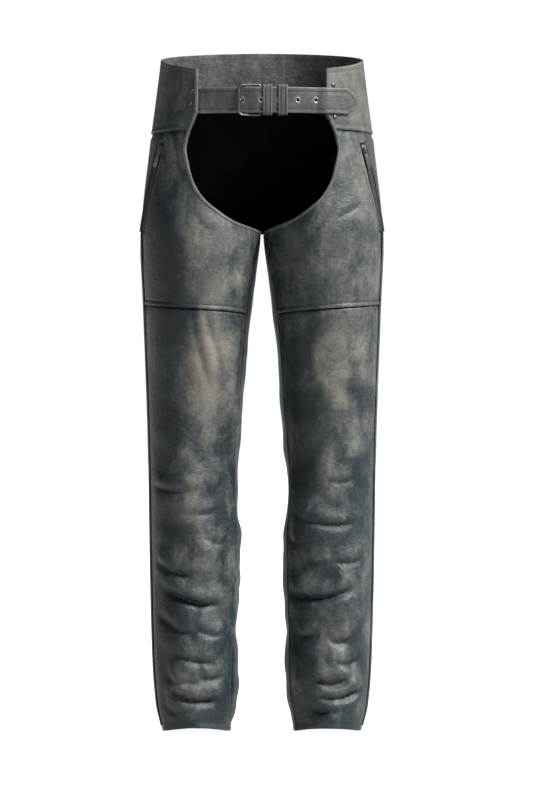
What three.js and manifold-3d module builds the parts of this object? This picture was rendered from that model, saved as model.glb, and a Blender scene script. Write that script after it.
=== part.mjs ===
// Leather chaps with a front belt, full-length leg zips and slanted hip pockets.
// Millimetres. +X is the wearer's left, -Y the front and +Z up. Heights are written from the
// hems (z = 0); the outer group then puts the origin at the middle of the waist.
import * as THREE from 'three';
import { mergeVertices } from 'three/addons/utils/BufferGeometryUtils.js';
import Module from 'manifold-3d';

const wasm = await Module();
wasm.setup();

// ---------------------------------------------------------------- driving dimensions

const LEATHER = 2.2;               // shell panel thickness
const FACING = 1.0;                // facing and yoke lining thickness
const LEG_LINING = 1.0;            // leg lining thickness
const PLY_GAP = 0.4;               // clearance between plies
const LINING_STANDOFF = 2.6;       // leg lining behind the shell, clear of its flat facets
const SEAM_GAP = 0.5;              // clearance where two panels meet
const BINDING_WIDTH = 5.4;
const BINDING_PROUD = 0.6;
const BINDING_DEPTH = 4.4;

// Overall sizes that the outlines below are drawn to.
const INSEAM_LENGTH = 773.5;       // hem to crotch
const HIP_HALF = 186;              // half the width over the hips
const LEG_HALF_DEPTH = 101;        // half a leg's depth at the crotch
const WAIST_HALF_DEPTH = 103;      // half the depth at the rim

// Heights, from the hems.
const CROTCH_HEIGHT = INSEAM_LENGTH;
const THIGH_SEAM_OUTER = CROTCH_HEIGHT - 112.5;
const THIGH_SEAM_DROP = 15;        // how much lower it is at the inseam
const YOKE_SEAM_SIDE = CROTCH_HEIGHT + 155;
const YOKE_SEAM_FRONT_RISE = 3.5;
const BACK_YOKE_DROP = 48;         // how far the back yoke dips at the centre back
const RIM_SIDE = CROTCH_HEIGHT + 266.5;
const RIM_FRONT_DROP = 24.5;
const RIM_BACK_RISE = 17;
const HEM_ARCH = 7;
const FACING_BAND = 88;            // leather band inside the back yoke, above its lining
const CENTRE_BACK_GAP = 0.4;       // half the gap at the centre back seam

const INSEAM = rad(155);           // inseam place, measured round the leg from the outer side
const CROTCH_BACK = rad(-165);     // where the back panel's top edge starts
const SIDE_SEAM = rad(-8);         // side seam and leg zip, behind the outer side
const LEG_ZIP_SLOT = 17;           // width left open between front and back panels
const BLEND_LOW = CROTCH_HEIGHT - 8.5;     // the leg tubes merge into one hip ring above this
const BLEND_HIGH = CROTCH_HEIGHT + 116.5;

// Outlines: below the crotch, heights are shares of the inseam; above, millimetres over it.
const below = (pairs) => pairs.map(([share, size]) => [share * INSEAM_LENGTH, size]);
const above = (pairs) => pairs.map(([rise, size]) => [CROTCH_HEIGHT + rise, size]);
const sized = (unit, pairs) => pairs.map(([height, share]) => [height, share * unit]);

const outerHalf = profile(sized(HIP_HALF, [
  ...below([[0, 0.823], [0.058, 0.871], [0.142, 0.898], [0.336, 0.919], [0.556, 0.933], [0.84, 0.973]]),
  ...above([[3.5, 1], [126.5, 0.938], [206.5, 0.882], [286.5, 0.828]])]));
const innerHalf = profile([
  ...below([[0, 49], [0.078, 40], [0.194, 37], [0.375, 34], [0.517, 37], [0.653, 29], [0.802, 20],
    [0.924, 8], [0.984, 2.3]]),
  ...above([[1.5, 1.6], [330, 1.6]])]);
const legDepth = profile(sized(LEG_HALF_DEPTH, [
  ...below([[0, 0.574], [0.142, 0.614], [0.388, 0.703], [0.569, 0.713], [0.84, 0.881]]),
  ...above([[0, 1], [330, 1]])]));
const legMiddle = profile(below([[0, 5], [0.388, 4], [0.595, 1], [0.84, 0], [1.4, 0]]));
const hipDepth = profile(sized(WAIST_HALF_DEPTH, above([[-73.5, 1.146], [86.5, 1.155], [163.5, 1.087],
  [286.5, 1]])));

// Half width of the front opening and of the seat opening.
const YOKE_EDGE = 98.6;            // where the front yokes end
const OPENING_EDGE = 1.7;          // half width left at the crotch
const frontOpening = profile(above([[0, OPENING_EDGE], [14.5, 43.5], [30.5, 68], [45.5, 86.4], [61.5, 98.6],
  [76.5, 106.2], [92.5, 111], [106.5, 114.2], [122.5, 116.8], [137.5, 114.6], [152.5, 110],
  [167.5, 103.6], [182.5, YOKE_EDGE + 0.4], [198.5, YOKE_EDGE], [330, YOKE_EDGE]]));
const seatOpening = profile(above([[0, OPENING_EDGE], [11.5, 30], [26.5, 52], [46.5, 68], [71.5, 76],
  [106.5, 77], [155, 66]]));

// Belt. Its straps follow arcs about one centre; radii are measured from there.
const BELT_HEIGHT = CROTCH_HEIGHT + 197.5; // height of the belt's middle
const BELT_WIDTH = 39.5;
const BELT_RADIUS = 218.2;         // of the tip strap where it leaves the right yoke
const TIP_THICK = 3;
const TIP_ANCHOR_DEPTH = 6.4;      // strap middle under the yoke's face
const TIP_ANCHOR_LENGTH = 35;      // length held behind the yoke
const TIP_OVER_YOKE = 3.1;         // height over the yoke leather
const TIP_OVERLAP = 49.4;          // how far the tip reaches over the left yoke
const TIP_POINT = 18;              // length of the point
const BUCKLE_STRAP_THICK = 2.4;
const BUCKLE_ANCHOR_DEPTH = 7.8;
const BUCKLE_ANCHOR_LENGTH = 33.4;
const BUCKLE_ANCHOR_HALF = 30;     // half height of the flared, riveted end
const FOLD_LENGTH = 16;            // return of the strap behind the heel bar
const STRAP_GAP = 1.2;             // between the buckle strap and the tip strap on it
const LINING_BACKED = { front: rad(0.5), back: rad(2) };  // how far linings stop short of the inseam
const YOKE_REACH = 16;             // run over which a strap starts to lean with its yoke
const LEAN_CLEAR = 2.6;            // the lean is complete this far before the yoke's edge
const OVER_RISE = 11.1;            // run over which the tip rises onto the left yoke

const BUCKLE_WIRE = 3.5;
const BUCKLE_LENGTH = 33;          // heel bar to front bar, along the belt
const BUCKLE_SIDE_GAP = 1.5;       // between the strap's edge and the frame
const BUCKLE_CORNERS = { heel: 3, front: 6 };
const BUCKLE_FIT = 0.35;           // clearance of the heel bar in its fold
const FRONT_BAR_CLEAR = 1.35;      // between the front bar and the tip strap
const PRONG_WIRE = 2.3;
const PRONG_FIT = 0.3;
const HEEL_BAR_X = -2;

const EYELETS = { first: -29.5, spacing: 28, count: 5 };
const EYELET_HOLE = 2.5;
const EYELET_BARREL = 3.0;
const EYELET_FLANGE = 4.1;
const EYELET_PROUD = 0.6;
const STRAP_HOLE = 3.3;

const KEEPER_WIDTH = 13.7;
const KEEPER_WALL = 2.2;
const KEEPER_ROOM = 1.65;          // inside a keeper, past the strap's edge
const KEEPER_XS = { fixed: 8.5, sliding: 31.5 };
const KEEPER_CLEAR = 0.4;

const RIVET_HEAD = 3.6;
const RIVET_SHANK = 1.3;
const RIVET_HOLE = 1.7;

// Values that follow from the ones above.
const BUCKLE_STRAP_RADIUS = BELT_RADIUS - 1.2;
const TIP_OVER_RADIUS = BUCKLE_STRAP_RADIUS + (BUCKLE_STRAP_THICK + TIP_THICK) / 2 + STRAP_GAP;
const HEEL_BAR_RADIUS = BUCKLE_STRAP_RADIUS - (BUCKLE_STRAP_THICK + BUCKLE_WIRE) / 2 - BUCKLE_FIT;
const FRONT_BAR_X = HEEL_BAR_X - BUCKLE_LENGTH;
const FRONT_BAR_RADIUS = BELT_RADIUS + (TIP_THICK + BUCKLE_WIRE) / 2 + FRONT_BAR_CLEAR;
const BUCKLE_HALF_HEIGHT = (BELT_WIDTH + BUCKLE_WIRE) / 2 + BUCKLE_SIDE_GAP;
const FOLD_SLOT = PRONG_WIRE + 2.5;
const TIP_END_X = YOKE_EDGE + TIP_OVERLAP;
const TIP_SHOULDER_X = TIP_END_X - TIP_POINT;
const EYELET_LAST = EYELETS.first + (EYELETS.count - 1) * EYELETS.spacing;
const EYELET_XS = steps(EYELETS.first, EYELET_LAST, EYELETS.count - 1);
const KEEPER_HALF = BELT_WIDTH / 2 + KEEPER_ROOM + KEEPER_WALL;
const KEEPER_OUTER_RADIUS = TIP_OVER_RADIUS + TIP_THICK / 2 + EYELET_PROUD + KEEPER_CLEAR + KEEPER_WALL;
const KEEPER_INNER_RADIUS = {
  fixed: 2 * HEEL_BAR_RADIUS - BUCKLE_STRAP_RADIUS - BUCKLE_STRAP_THICK / 2 - KEEPER_CLEAR - KEEPER_WALL,
  sliding: BUCKLE_STRAP_RADIUS - BUCKLE_STRAP_THICK / 2 - KEEPER_CLEAR - KEEPER_WALL,
};
const TIP_STACK = TIP_ANCHOR_DEPTH + TIP_THICK / 2;
const BUCKLE_STACK = BUCKLE_ANCHOR_DEPTH + BUCKLE_STRAP_THICK / 2;
// Rivets: place along the belt past the yoke's edge, height over the belt's middle, leather held.
const RIVETS = {
  right_upper: { side: -1, reach: 9.4, rise: 15, stack: TIP_STACK },
  right_lower: { side: -1, reach: 11.9, rise: -5, stack: TIP_STACK },
  left_upper: { side: 1, reach: 10.9, rise: BELT_WIDTH / 2 + 4.5, stack: BUCKLE_STACK },
  left_lower: { side: 1, reach: 13.4, rise: -BELT_WIDTH / 2 - 5.25, stack: BUCKLE_STACK },
};
// The belt's centre of curvature puts its arc through the yoke's edge.
const BELT_CENTRE_Y = beltCentre();

// Zips.
const ZIP_TAPE_THICK = 0.9;
const ZIP_CHAIN = { width: 5.4, thick: 2.6 };
const HIP_ZIP = {
  topAngle: rad(54), topHeight: CROTCH_HEIGHT + 131.5, lowAngle: rad(13), lowHeight: CROTCH_HEIGHT + 1.5,
  tape: 10, slot: 11.5, depth: 1.4, slider: 0.055,
};
const LEG_ZIP = {
  topHeight: CROTCH_HEIGHT - 31.5, lowHeight: 62, y: 13, tape: 12.4, depth: LEATHER + 6.2, sliderHeight: 150,
};
const SLIDER = { long: 13, wide: 8.6, body: 2.4, clear: 1.9, bar: 0.9, archWide: 2.4 };
const SLIDER_GAP = 0.3;
const ARCH = { low: 4.6, high: -3 };
const PULLER = { long: 27, wide: 7, thick: 1.2, cross: 1.3, pivot: 1.4, window: 5.3, slot: 3.4 };

// Storm flap over each leg zip, and its snap at the ankle.
const FLAP = { top: CROTCH_HEIGHT + 0.5, low: 22, wide: 37, thick: 1.8, standoff: 2, edge: rad(6.5) };
const SNAP_HEIGHT = 42;
const SNAP_FROM_EDGE = 29;
const SNAP_CAP = { radius: 5.5, high: 2 };
const SNAP_STUD = { radius: 4, high: 0.6 };

// Hip pocket bags inside the thighs.
const POCKET = {
  from: rad(24), to: rad(84), low: CROTCH_HEIGHT - 31.5, high: CROTCH_HEIGHT + 110.5, depth: LEATHER + 6.6,
  thick: 2.4,
};

// ---------------------------------------------------------------- small maths

function rad(degrees) {
  return THREE.MathUtils.degToRad(degrees);
}

// Smooth curve through [place, value] pairs that never overshoots them.
function profile(points) {
  const steep = (a, b) => (b[1] - a[1]) / (b[0] - a[0]);
  const last = points.length - 1;
  const slopes = points.map((point, i) => {
    if (i === 0) return steep(point, points[1]);
    if (i === last) return steep(points[last - 1], point);
    const before = steep(points[i - 1], point);
    const after = steep(point, points[i + 1]);
    return before * after <= 0 ? 0 : (2 * before * after) / (before + after);
  });
  return (place) => {
    if (place <= points[0][0]) return points[0][1];
    if (place >= points[last][0]) return points[last][1];
    const i = points.findIndex((point) => point[0] > place) - 1;
    const span = points[i + 1][0] - points[i][0];
    const t = (place - points[i][0]) / span;
    return (2 * t ** 3 - 3 * t ** 2 + 1) * points[i][1] + (t ** 3 - 2 * t ** 2 + t) * span * slopes[i]
      + (3 * t ** 2 - 2 * t ** 3) * points[i + 1][1] + (t ** 3 - t ** 2) * span * slopes[i + 1];
  };
}

function lerp(a, b, t) {
  return a + (b - a) * t;
}

function steps(from, to, count) {
  return Array.from({ length: count + 1 }, (_, i) => lerp(from, to, i / count));
}

function smooth(value, low, high) {
  return THREE.MathUtils.smoothstep(value, low, high);
}

// ---------------------------------------------------------------- solids

// Turns every face of a closed geometry outwards.
function facingOut(geometry) {
  const index = geometry.index.array;
  const p = geometry.attributes.position;
  const at = (i) => new THREE.Vector3().fromBufferAttribute(p, index[i]);
  let volume = 0;
  for (let i = 0; i < index.length; i += 3) volume += at(i).dot(at(i + 1).cross(at(i + 2)));
  if (volume < 0) {
    for (let i = 0; i < index.length; i += 3) [index[i], index[i + 1]] = [index[i + 1], index[i]];
  }
  return geometry;
}

function geometryFrom(points, triangles) {
  const geometry = new THREE.BufferGeometry();
  geometry.setAttribute('position', new THREE.Float32BufferAttribute(points.flatMap((p) => [...p]), 3));
  geometry.setIndex(triangles.flat());
  return facingOut(geometry);
}

// Solid swept through stations, each a ring of points in the same order.
function sweep(stations, closed = false) {
  const sides = stations[0].length;
  const triangles = [];
  const rings = closed ? stations.length : stations.length - 1;
  for (let s = 0; s < rings; s++) {
    const next = (s + 1) % stations.length;
    for (let k = 0; k < sides; k++) {
      const a = s * sides + k;
      const b = s * sides + ((k + 1) % sides);
      const c = next * sides + ((k + 1) % sides);
      const d = next * sides + k;
      triangles.push([a, b, c], [a, c, d]);
    }
  }
  if (!closed) {
    const lastRing = (stations.length - 1) * sides;
    for (let k = 1; k < sides - 1; k++) {
      triangles.push([0, k + 1, k], [lastRing, lastRing + k, lastRing + k + 1]);
    }
  }
  return geometryFrom(stations.flat(), triangles);
}

// Closed curved sheet between two grids of points, outer[row][column] and inner[row][column].
function sheet(outer, inner) {
  const rows = outer.length;
  const columns = outer[0].length;
  const at = (layer, row, column) => (layer * rows + row) * columns + column;
  const triangles = [];
  const quad = (a, b, c, d) => triangles.push([a, b, c], [a, c, d]);
  for (let r = 0; r < rows - 1; r++) {
    for (let c = 0; c < columns - 1; c++) {
      quad(at(0, r, c), at(0, r, c + 1), at(0, r + 1, c + 1), at(0, r + 1, c));
      quad(at(1, r, c), at(1, r + 1, c), at(1, r + 1, c + 1), at(1, r, c + 1));
    }
    quad(at(0, r, 0), at(0, r + 1, 0), at(1, r + 1, 0), at(1, r, 0));
    quad(at(0, r, columns - 1), at(1, r, columns - 1), at(1, r + 1, columns - 1),
      at(0, r + 1, columns - 1));
  }
  for (let c = 0; c < columns - 1; c++) {
    quad(at(0, 0, c), at(1, 0, c), at(1, 0, c + 1), at(0, 0, c + 1));
    quad(at(0, rows - 1, c), at(0, rows - 1, c + 1), at(1, rows - 1, c + 1), at(1, rows - 1, c));
  }
  return geometryFrom([...outer.flat(), ...inner.flat()], triangles);
}

// Round or flat bar along points in one plane; `normal` is the plane's normal.
function wire(points, normal, section, closed = false) {
  const last = points.length - 1;
  return sweep(points.map((point, i) => {
    const before = closed ? points[(i + last) % points.length] : points[Math.max(i - 1, 0)];
    const after = closed ? points[(i + 1) % points.length] : points[Math.min(i + 1, last)];
    const side = after.clone().sub(before).normalize().cross(normal).normalize();
    return section.map(([a, b]) => point.clone().addScaledVector(side, a).addScaledVector(normal, b));
  }), closed);
}

function roundSection(diameter, sides = 8) {
  return steps(0, 2 * Math.PI, sides).slice(0, sides)
    .map((turn) => [Math.cos(turn) * diameter / 2, Math.sin(turn) * diameter / 2]);
}

function flatSection(across, thick) {
  return [[-thick / 2, -across / 2], [thick / 2, -across / 2], [thick / 2, across / 2],
    [-thick / 2, across / 2]];
}

// Copy with shared corners, and without the normals that keep them apart.
function bareCopy(geometry) {
  const bare = geometry.clone();
  bare.deleteAttribute('normal');
  bare.deleteAttribute('uv');
  return mergeVertices(bare, 1e-4);
}

function toManifold(geometry) {
  const merged = bareCopy(geometry);
  return new wasm.Manifold(new wasm.Mesh({
    numProp: 3,
    vertProperties: new Float32Array(merged.attributes.position.array),
    triVerts: new Uint32Array(merged.index.array),
  }));
}

function fromManifold(solid) {
  const mesh = solid.getMesh();
  const geometry = new THREE.BufferGeometry();
  geometry.setAttribute('position', new THREE.BufferAttribute(mesh.vertProperties, 3));
  geometry.setIndex(new THREE.BufferAttribute(mesh.triVerts, 1));
  return geometry;
}

function cut(geometry, ...tools) {
  let solid = toManifold(geometry);
  for (const tool of tools) solid = solid.subtract(toManifold(tool));
  return fromManifold(solid);
}

function join(geometry, ...others) {
  let solid = toManifold(geometry);
  for (const other of others) solid = solid.add(toManifold(other));
  return fromManifold(solid);
}

// Puts a geometry made along local X, Y, Z on the given axes at a place.
function placed(geometry, place, x, y, z) {
  const matrix = new THREE.Matrix4().makeBasis(x, y, z).setPosition(place);
  return facingOut(bareCopy(geometry).applyMatrix4(matrix));
}

// Turned solid about local Z from a closed [radius, height] outline.
function turned(outline, segments = 16) {
  const points = [...outline, outline[0]].map(([r, h]) => new THREE.Vector2(r, h));
  return new THREE.LatheGeometry(points, segments).rotateX(Math.PI / 2);
}

// ---------------------------------------------------------------- the garment's surface

// Point on the outer face of the left half. `angle` is 0 at the outer side, grows towards the
// front and falls towards the back; `depth` goes into the garment.
function skin(angle, height, depth = 0) {
  const point = face(angle, height);
  if (depth === 0) return point;
  const step = 0.01;
  const round = face(angle + step, height).sub(face(angle - step, height));
  const up = face(angle, height + 1).sub(face(angle, height - 1));
  return point.addScaledVector(up.cross(round).normalize(), -depth);
}

function face(angle, height) {
  const outer = outerHalf(height);
  const inner = innerHalf(height);
  const hip = smooth(height, BLEND_LOW, BLEND_HIGH);
  const legX = (outer + inner) / 2 + (outer - inner) / 2 * Math.cos(angle);
  const legY = legMiddle(height) - legDepth(height) * Math.sin(angle);
  const hipX = outer * Math.cos(angle / 2);
  const hipY = -hipDepth(height) * Math.sin(angle / 2);
  return new THREE.Vector3(lerp(legX, hipX, hip), lerp(legY, hipY, hip), height);
}

function normalAt(angle, height) {
  return skin(angle, height).sub(skin(angle, height, 1));
}

// The angle on the front (sense 1) or back (sense -1) where the surface is x from the middle.
function angleAt(x, height, sense) {
  let low = 0;
  let high = Math.PI;
  for (let i = 0; i < 40; i++) {
    const middle = (low + high) / 2;
    if (face(sense * middle, height).x > x) low = middle;
    else high = middle;
  }
  return sense * (low + high) / 2;
}

// Edge of an opening, moved into the leather by `inset`.
function openingEdge(opening, height, sense, inset = 0) {
  const slope = (opening(height + 0.5) - opening(height - 0.5));
  return angleAt(opening(height) + inset * Math.hypot(1, slope), height, sense);
}

function frontEdge(height, inset) {
  return openingEdge(frontOpening, height, 1, inset);
}

function seatEdge(height, inset) {
  return openingEdge(seatOpening, height, -1, inset);
}

function rim(angle) {
  const turn = angle / 2;
  return RIM_SIDE - (turn > 0 ? RIM_FRONT_DROP : RIM_BACK_RISE) * Math.sin(turn);
}

function yokeSeam(angle) {
  const turn = Math.sin(angle / 2);
  const change = angle > 0 ? YOKE_SEAM_FRONT_RISE * turn : -BACK_YOKE_DROP * turn ** 2;
  return YOKE_SEAM_SIDE + change;
}

function thighSeam(angle) {
  return THIGH_SEAM_OUTER - THIGH_SEAM_DROP * Math.max(angle, 0) / INSEAM;
}

function hem(angle) {
  return HEM_ARCH * Math.sin(angle) ** 2;
}

// Heights near the top bend to meet the yoke seam.
function underYoke(angle, height) {
  return height + (yokeSeam(angle) - YOKE_SEAM_SIDE) * smooth(height, CROTCH_HEIGHT + 16.5, YOKE_SEAM_SIDE);
}

// Panel whose rows have the nominal heights given. `from` and `to` give each row's end angles,
// and `bend` the true height at an angle.
function panel({ heights, columns, from, to, bend, depth, thick }) {
  const grid = (layer) => heights.map((height) => steps(from(height), to(height), columns)
    .map((angle) => skin(angle, bend(angle, height), layer)));
  return sheet(grid(depth), grid(depth + thick));
}

const PANEL_INSET = BINDING_WIDTH + 2 * PLY_GAP;

function frontLegEnd(height) {
  if (height < CROTCH_HEIGHT + 3) return INSEAM;
  return Math.min(INSEAM, frontEdge(height, PANEL_INSET));
}

// The back panel wraps forward to the inseam below the crotch, and stops short of it above.
function backLegEnd(height) {
  if (height < CROTCH_HEIGHT - PANEL_INSET - 2) return INSEAM - 2 * Math.PI + SEAM_GAP / 50;
  if (height < CROTCH_HEIGHT) return CROTCH_BACK;
  return seatEdge(height, PANEL_INSET + 1);
}

// The front and back panels leave a slot for the leg zip and meet above it.
function zipEdge(height, sense) {
  const slot = height > LEG_ZIP.topHeight + 10 ? SEAM_GAP : LEG_ZIP_SLOT;
  return SIDE_SEAM + sense * slot / 2 / legDepth(height);
}

// ---------------------------------------------------------------- materials

function material(colour, roughness, metalness = 0) {
  return new THREE.MeshStandardMaterial({ color: colour, roughness, metalness });
}

const thighLeather = material(0x7b7a72, 0.55);
const shinLeather = material(0x74736b, 0.55);
const yokeLeather = material(0x85847a, 0.52);
const bindingLeather = material(0x8e9089, 0.5);
const strapLeather = material(0x6c6e6a, 0.48);
const facingLeather = material(0x5b5a54, 0.6);
const blackLining = material(0x121315, 0.85);
const zipTape = material(0x1c1d1f, 0.8);
const nickel = material(0xb4b6b8, 0.28, 1);
const gunmetal = material(0x6e7174, 0.35, 1);

// ---------------------------------------------------------------- building

const garment = new THREE.Group();

function add(name, geometry, finish) {
  const mesh = new THREE.Mesh(geometry, finish);
  mesh.name = name;
  garment.add(mesh);
}

// Adds the piece for both halves; the right half mirrors the left one.
function addPair(name, geometry, finish) {
  add(`${name}_left`, geometry, finish);
  const mirrored = geometry.clone().scale(-1, 1, 1);
  add(`${name}_right`, facingOut(mirrored), finish);
}

// ---- leg panels and their lining

const LOWER_HEIGHTS = [0, 0.058, 0.13, 0.233, 0.35, 0.48, 0.61, 0.725].map((share) => share * INSEAM_LENGTH);
const THIGH_START = CROTCH_HEIGHT - 133.5;
const UPPER_HEIGHTS = [-63.5, -23.5, -5.5, 5.5, 14.5, 22.5, 30.5, 38.5, 46.5, 61.5, 76.5, 92.5, 111.5, 134.5]
  .map((rise) => CROTCH_HEIGHT + rise);
const BACK_UPPER_HEIGHTS = [-123.5, -63.5, -23.5, -10.5, -7, 1, 11.5, 26.5, 46.5, 71.5, 111.5]
  .map((rise) => CROTCH_HEIGHT + rise);

function legPanels() {
  const fromZip = (height) => zipEdge(height, 1);
  const bendLow = (angle, height) => {
    if (height === 0) return hem(angle);
    return height === THIGH_START ? thighSeam(angle) - SEAM_GAP / 2 : height;
  };
  const bendHigh = (angle, height) => {
    if (height === THIGH_START) return thighSeam(angle) + SEAM_GAP / 2;
    return underYoke(angle, height) - (height === YOKE_SEAM_SIDE ? SEAM_GAP / 2 : 0);
  };
  const shell = { columns: 9, from: fromZip, to: frontLegEnd, depth: 0, thick: LEATHER };
  const lower = panel({ ...shell, heights: [...LOWER_HEIGHTS, THIGH_START], bend: bendLow });
  const upper = panel({ ...shell, heights: [THIGH_START, ...UPPER_HEIGHTS, YOKE_SEAM_SIDE], bend: bendHigh });
  addPair('lower_leg_front', lower, shinLeather);
  addPair('upper_leg_front', cut(upper, hipZipSlot()), thighLeather);

  const back = panel({
    heights: [...LOWER_HEIGHTS, ...BACK_UPPER_HEIGHTS, YOKE_SEAM_SIDE],
    columns: 10,
    from: backLegEnd,
    to: (height) => zipEdge(height, -1),
    bend: (angle, height) => (height === 0 ? hem(angle) : bendHigh(angle, height)),
    depth: 0,
    thick: LEATHER,
  });
  addPair('leg_back', back, thighLeather);
}

function legLinings() {
  const depth = LEATHER + LINING_STANDOFF;
  const low = 24;
  const top = YOKE_SEAM_SIDE - 2;
  const lower = [low, ...LOWER_HEIGHTS.slice(1)];
  const front = panel({
    heights: [...lower, THIGH_START, ...UPPER_HEIGHTS.filter((height, i) => i < 5 || i % 2), top],
    columns: 6,
    from: (height) => zipEdge(height, 1),
    to: (height) => frontLegEnd(height) - LINING_BACKED.front,
    bend: underYoke,
    depth,
    thick: LEG_LINING,
  });
  addPair('leg_lining_front', cut(front, hipZipSlot()), blackLining);
  const back = panel({
    heights: [...lower, ...BACK_UPPER_HEIGHTS, top],
    columns: 10,
    from: (height) => backLegEnd(height) + LINING_BACKED.back,
    to: (height) => zipEdge(height, -1),
    bend: underYoke,
    depth,
    thick: LEG_LINING,
  });
  addPair('leg_lining_back', back, blackLining);
}

// ---- yokes, facings and yoke lining

function yokePanel(ends, columns, low, high, depth, thick) {
  const heights = [0, 0.34, 0.67, 1];
  const grid = (layer) => heights.map((share) => {
    const nominal = lerp(YOKE_SEAM_SIDE, RIM_SIDE, share);
    return steps(ends.from(nominal), ends.to(nominal), columns)
      .map((angle) => skin(angle, lerp(low(angle), high(angle), share), layer));
  });
  return sheet(grid(depth), grid(depth + thick));
}

function yokes() {
  const centreBack = -Math.PI + 2 * CENTRE_BACK_GAP / 160;
  const gap = SEAM_GAP / 200;
  const front = {
    from: () => SIDE_SEAM + gap,
    to: (height) => frontEdge(Math.max(height, YOKE_SEAM_SIDE + YOKE_SEAM_FRONT_RISE), PANEL_INSET),
  };
  const back = { from: () => centreBack, to: () => SIDE_SEAM - gap };
  const seamLine = (angle) => yokeSeam(angle) + SEAM_GAP / 2;
  const bandLine = (angle) => rim(angle) - FACING_BAND;
  const inside = LEATHER + PLY_GAP;
  const holes = Object.values(RIVETS).filter((rivet) => rivet.side > 0).map(rivetHole);
  const rightHoles = Object.values(RIVETS).filter((rivet) => rivet.side < 0).map(rivetHole);
  const outer = yokePanel(front, 8, seamLine, rim, 0, LEATHER);
  const inner = yokePanel(front, 8, seamLine, rim, inside, FACING);
  const plies = [['front_yoke', outer, yokeLeather], ['front_facing', inner, facingLeather]];
  for (const [name, solid, finish] of plies) {
    add(`${name}_left`, cut(solid, ...holes), finish);
    add(`${name}_right`, facingOut(cut(solid, ...rightHoles).scale(-1, 1, 1)), finish);
  }
  addPair('back_yoke', yokePanel(back, 9, seamLine, rim, 0, LEATHER), yokeLeather);
  addPair('back_facing', yokePanel(back, 9, (angle) => bandLine(angle) + SEAM_GAP, rim, inside, FACING),
    facingLeather);
  addPair('back_yoke_lining', yokePanel(back, 9, seamLine, bandLine, inside + PLY_GAP, FACING), blackLining);
}

// ---- bindings along the openings

function binding(places) {
  return sweep(places.map((place, i) => {
    const before = places[Math.max(i - 1, 0)];
    const after = places[Math.min(i + 1, places.length - 1)];
    const along = skin(...after).sub(skin(...before)).normalize();
    const out = normalAt(...place).normalize();
    const across = out.clone().cross(along).normalize();
    const corner = (a, d) => skin(...place).addScaledVector(across, a).addScaledVector(out, -d);
    return [corner(0.2, -BINDING_PROUD), corner(BINDING_WIDTH, -BINDING_PROUD),
      corner(BINDING_WIDTH, BINDING_DEPTH), corner(0.2, BINDING_DEPTH)];
  }));
}

function bindings() {
  const frontHeights = [RIM_SIDE, ...[216.5, 182.5, 167.5, 152.5, 137.5, 122.5, 106.5, 92.5, 76.5, 61.5, 45.5,
    30.5, 22.5, 14.5, 7.5, 2.5].map((rise) => CROTCH_HEIGHT + rise)];
  const front = frontHeights.map((height, i) => {
    const angle = frontEdge(height, 0);
    return [angle, i === 0 ? rim(angle) : height];
  });
  addPair('front_binding', binding(front), bindingLeather);
  const seatHeights = [2, 5.5, 11.5, 18.5, 26.5, 36.5, 46.5, 58.5, 71.5, 88.5, 106.5, 126.5]
    .map((rise) => CROTCH_HEIGHT + rise).concat(YOKE_SEAM_SIDE);
  const seat = seatHeights.map((height) => {
    const angle = seatEdge(height, 0);
    return [angle, underYoke(angle, height) - (height === YOKE_SEAM_SIDE ? SEAM_GAP : 0)];
  });
  addPair('seat_binding', binding(seat), bindingLeather);
}

// ---- zips

// Circular arc through three points: its centre, axis and a place for any share of it.
function arcThrough(a, b, c) {
  const ab = b.clone().sub(a);
  const ac = c.clone().sub(a);
  const axis = ab.clone().cross(ac);
  const toCentre = axis.clone().cross(ab).multiplyScalar(ac.lengthSq())
    .add(ac.clone().cross(axis).multiplyScalar(ab.lengthSq())).divideScalar(2 * axis.lengthSq());
  const centre = a.clone().add(toCentre);
  axis.normalize();
  const start = a.clone().sub(centre);
  const sweepAngle = start.angleTo(c.clone().sub(centre));
  return { centre, axis, at: (share) => start.clone().applyAxisAngle(axis, sweepAngle * share), sweepAngle };
}

// Frame on the hip zip at a share of its length: along, across and out.
function hipZipFrame(share) {
  const arc = hipZipArc();
  const radial = arc.at(share);
  const out = radial.clone().normalize();
  const place = arc.centre.clone().add(radial);
  const along = arc.axis.clone().cross(out);
  return { place, along, across: arc.axis.clone(), out };
}

function hipZipArc() {
  const { topAngle, topHeight, lowAngle, lowHeight, depth } = HIP_ZIP;
  const middle = [(topAngle + lowAngle) / 2, (topHeight + lowHeight) / 2];
  return arcThrough(skin(topAngle, topHeight, depth), skin(...middle, depth),
    skin(lowAngle, lowHeight, depth));
}

function alongFrames(frames, section) {
  return sweep(frames.map(({ place, across, out }) => section
    .map(([a, o]) => place.clone().addScaledVector(across, a).addScaledVector(out, o))));
}

function hipZipSlot() {
  const half = HIP_ZIP.slot / 2;
  const box = [[-half, -14], [half, -14], [half, 10], [-half, 10]];
  return alongFrames(steps(-0.03, 1.03, 6).map(hipZipFrame), box);
}

// Tape with the closed chain standing proud along its middle.
function zipSection(tape) {
  const half = tape / 2;
  const chain = ZIP_CHAIN.width / 2;
  const back = -ZIP_CHAIN.thick / 2;
  return [[-half, back], [half, back], [half, back + ZIP_TAPE_THICK], [chain, ZIP_CHAIN.thick / 2],
    [-chain, ZIP_CHAIN.thick / 2], [-half, back + ZIP_TAPE_THICK]];
}

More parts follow.
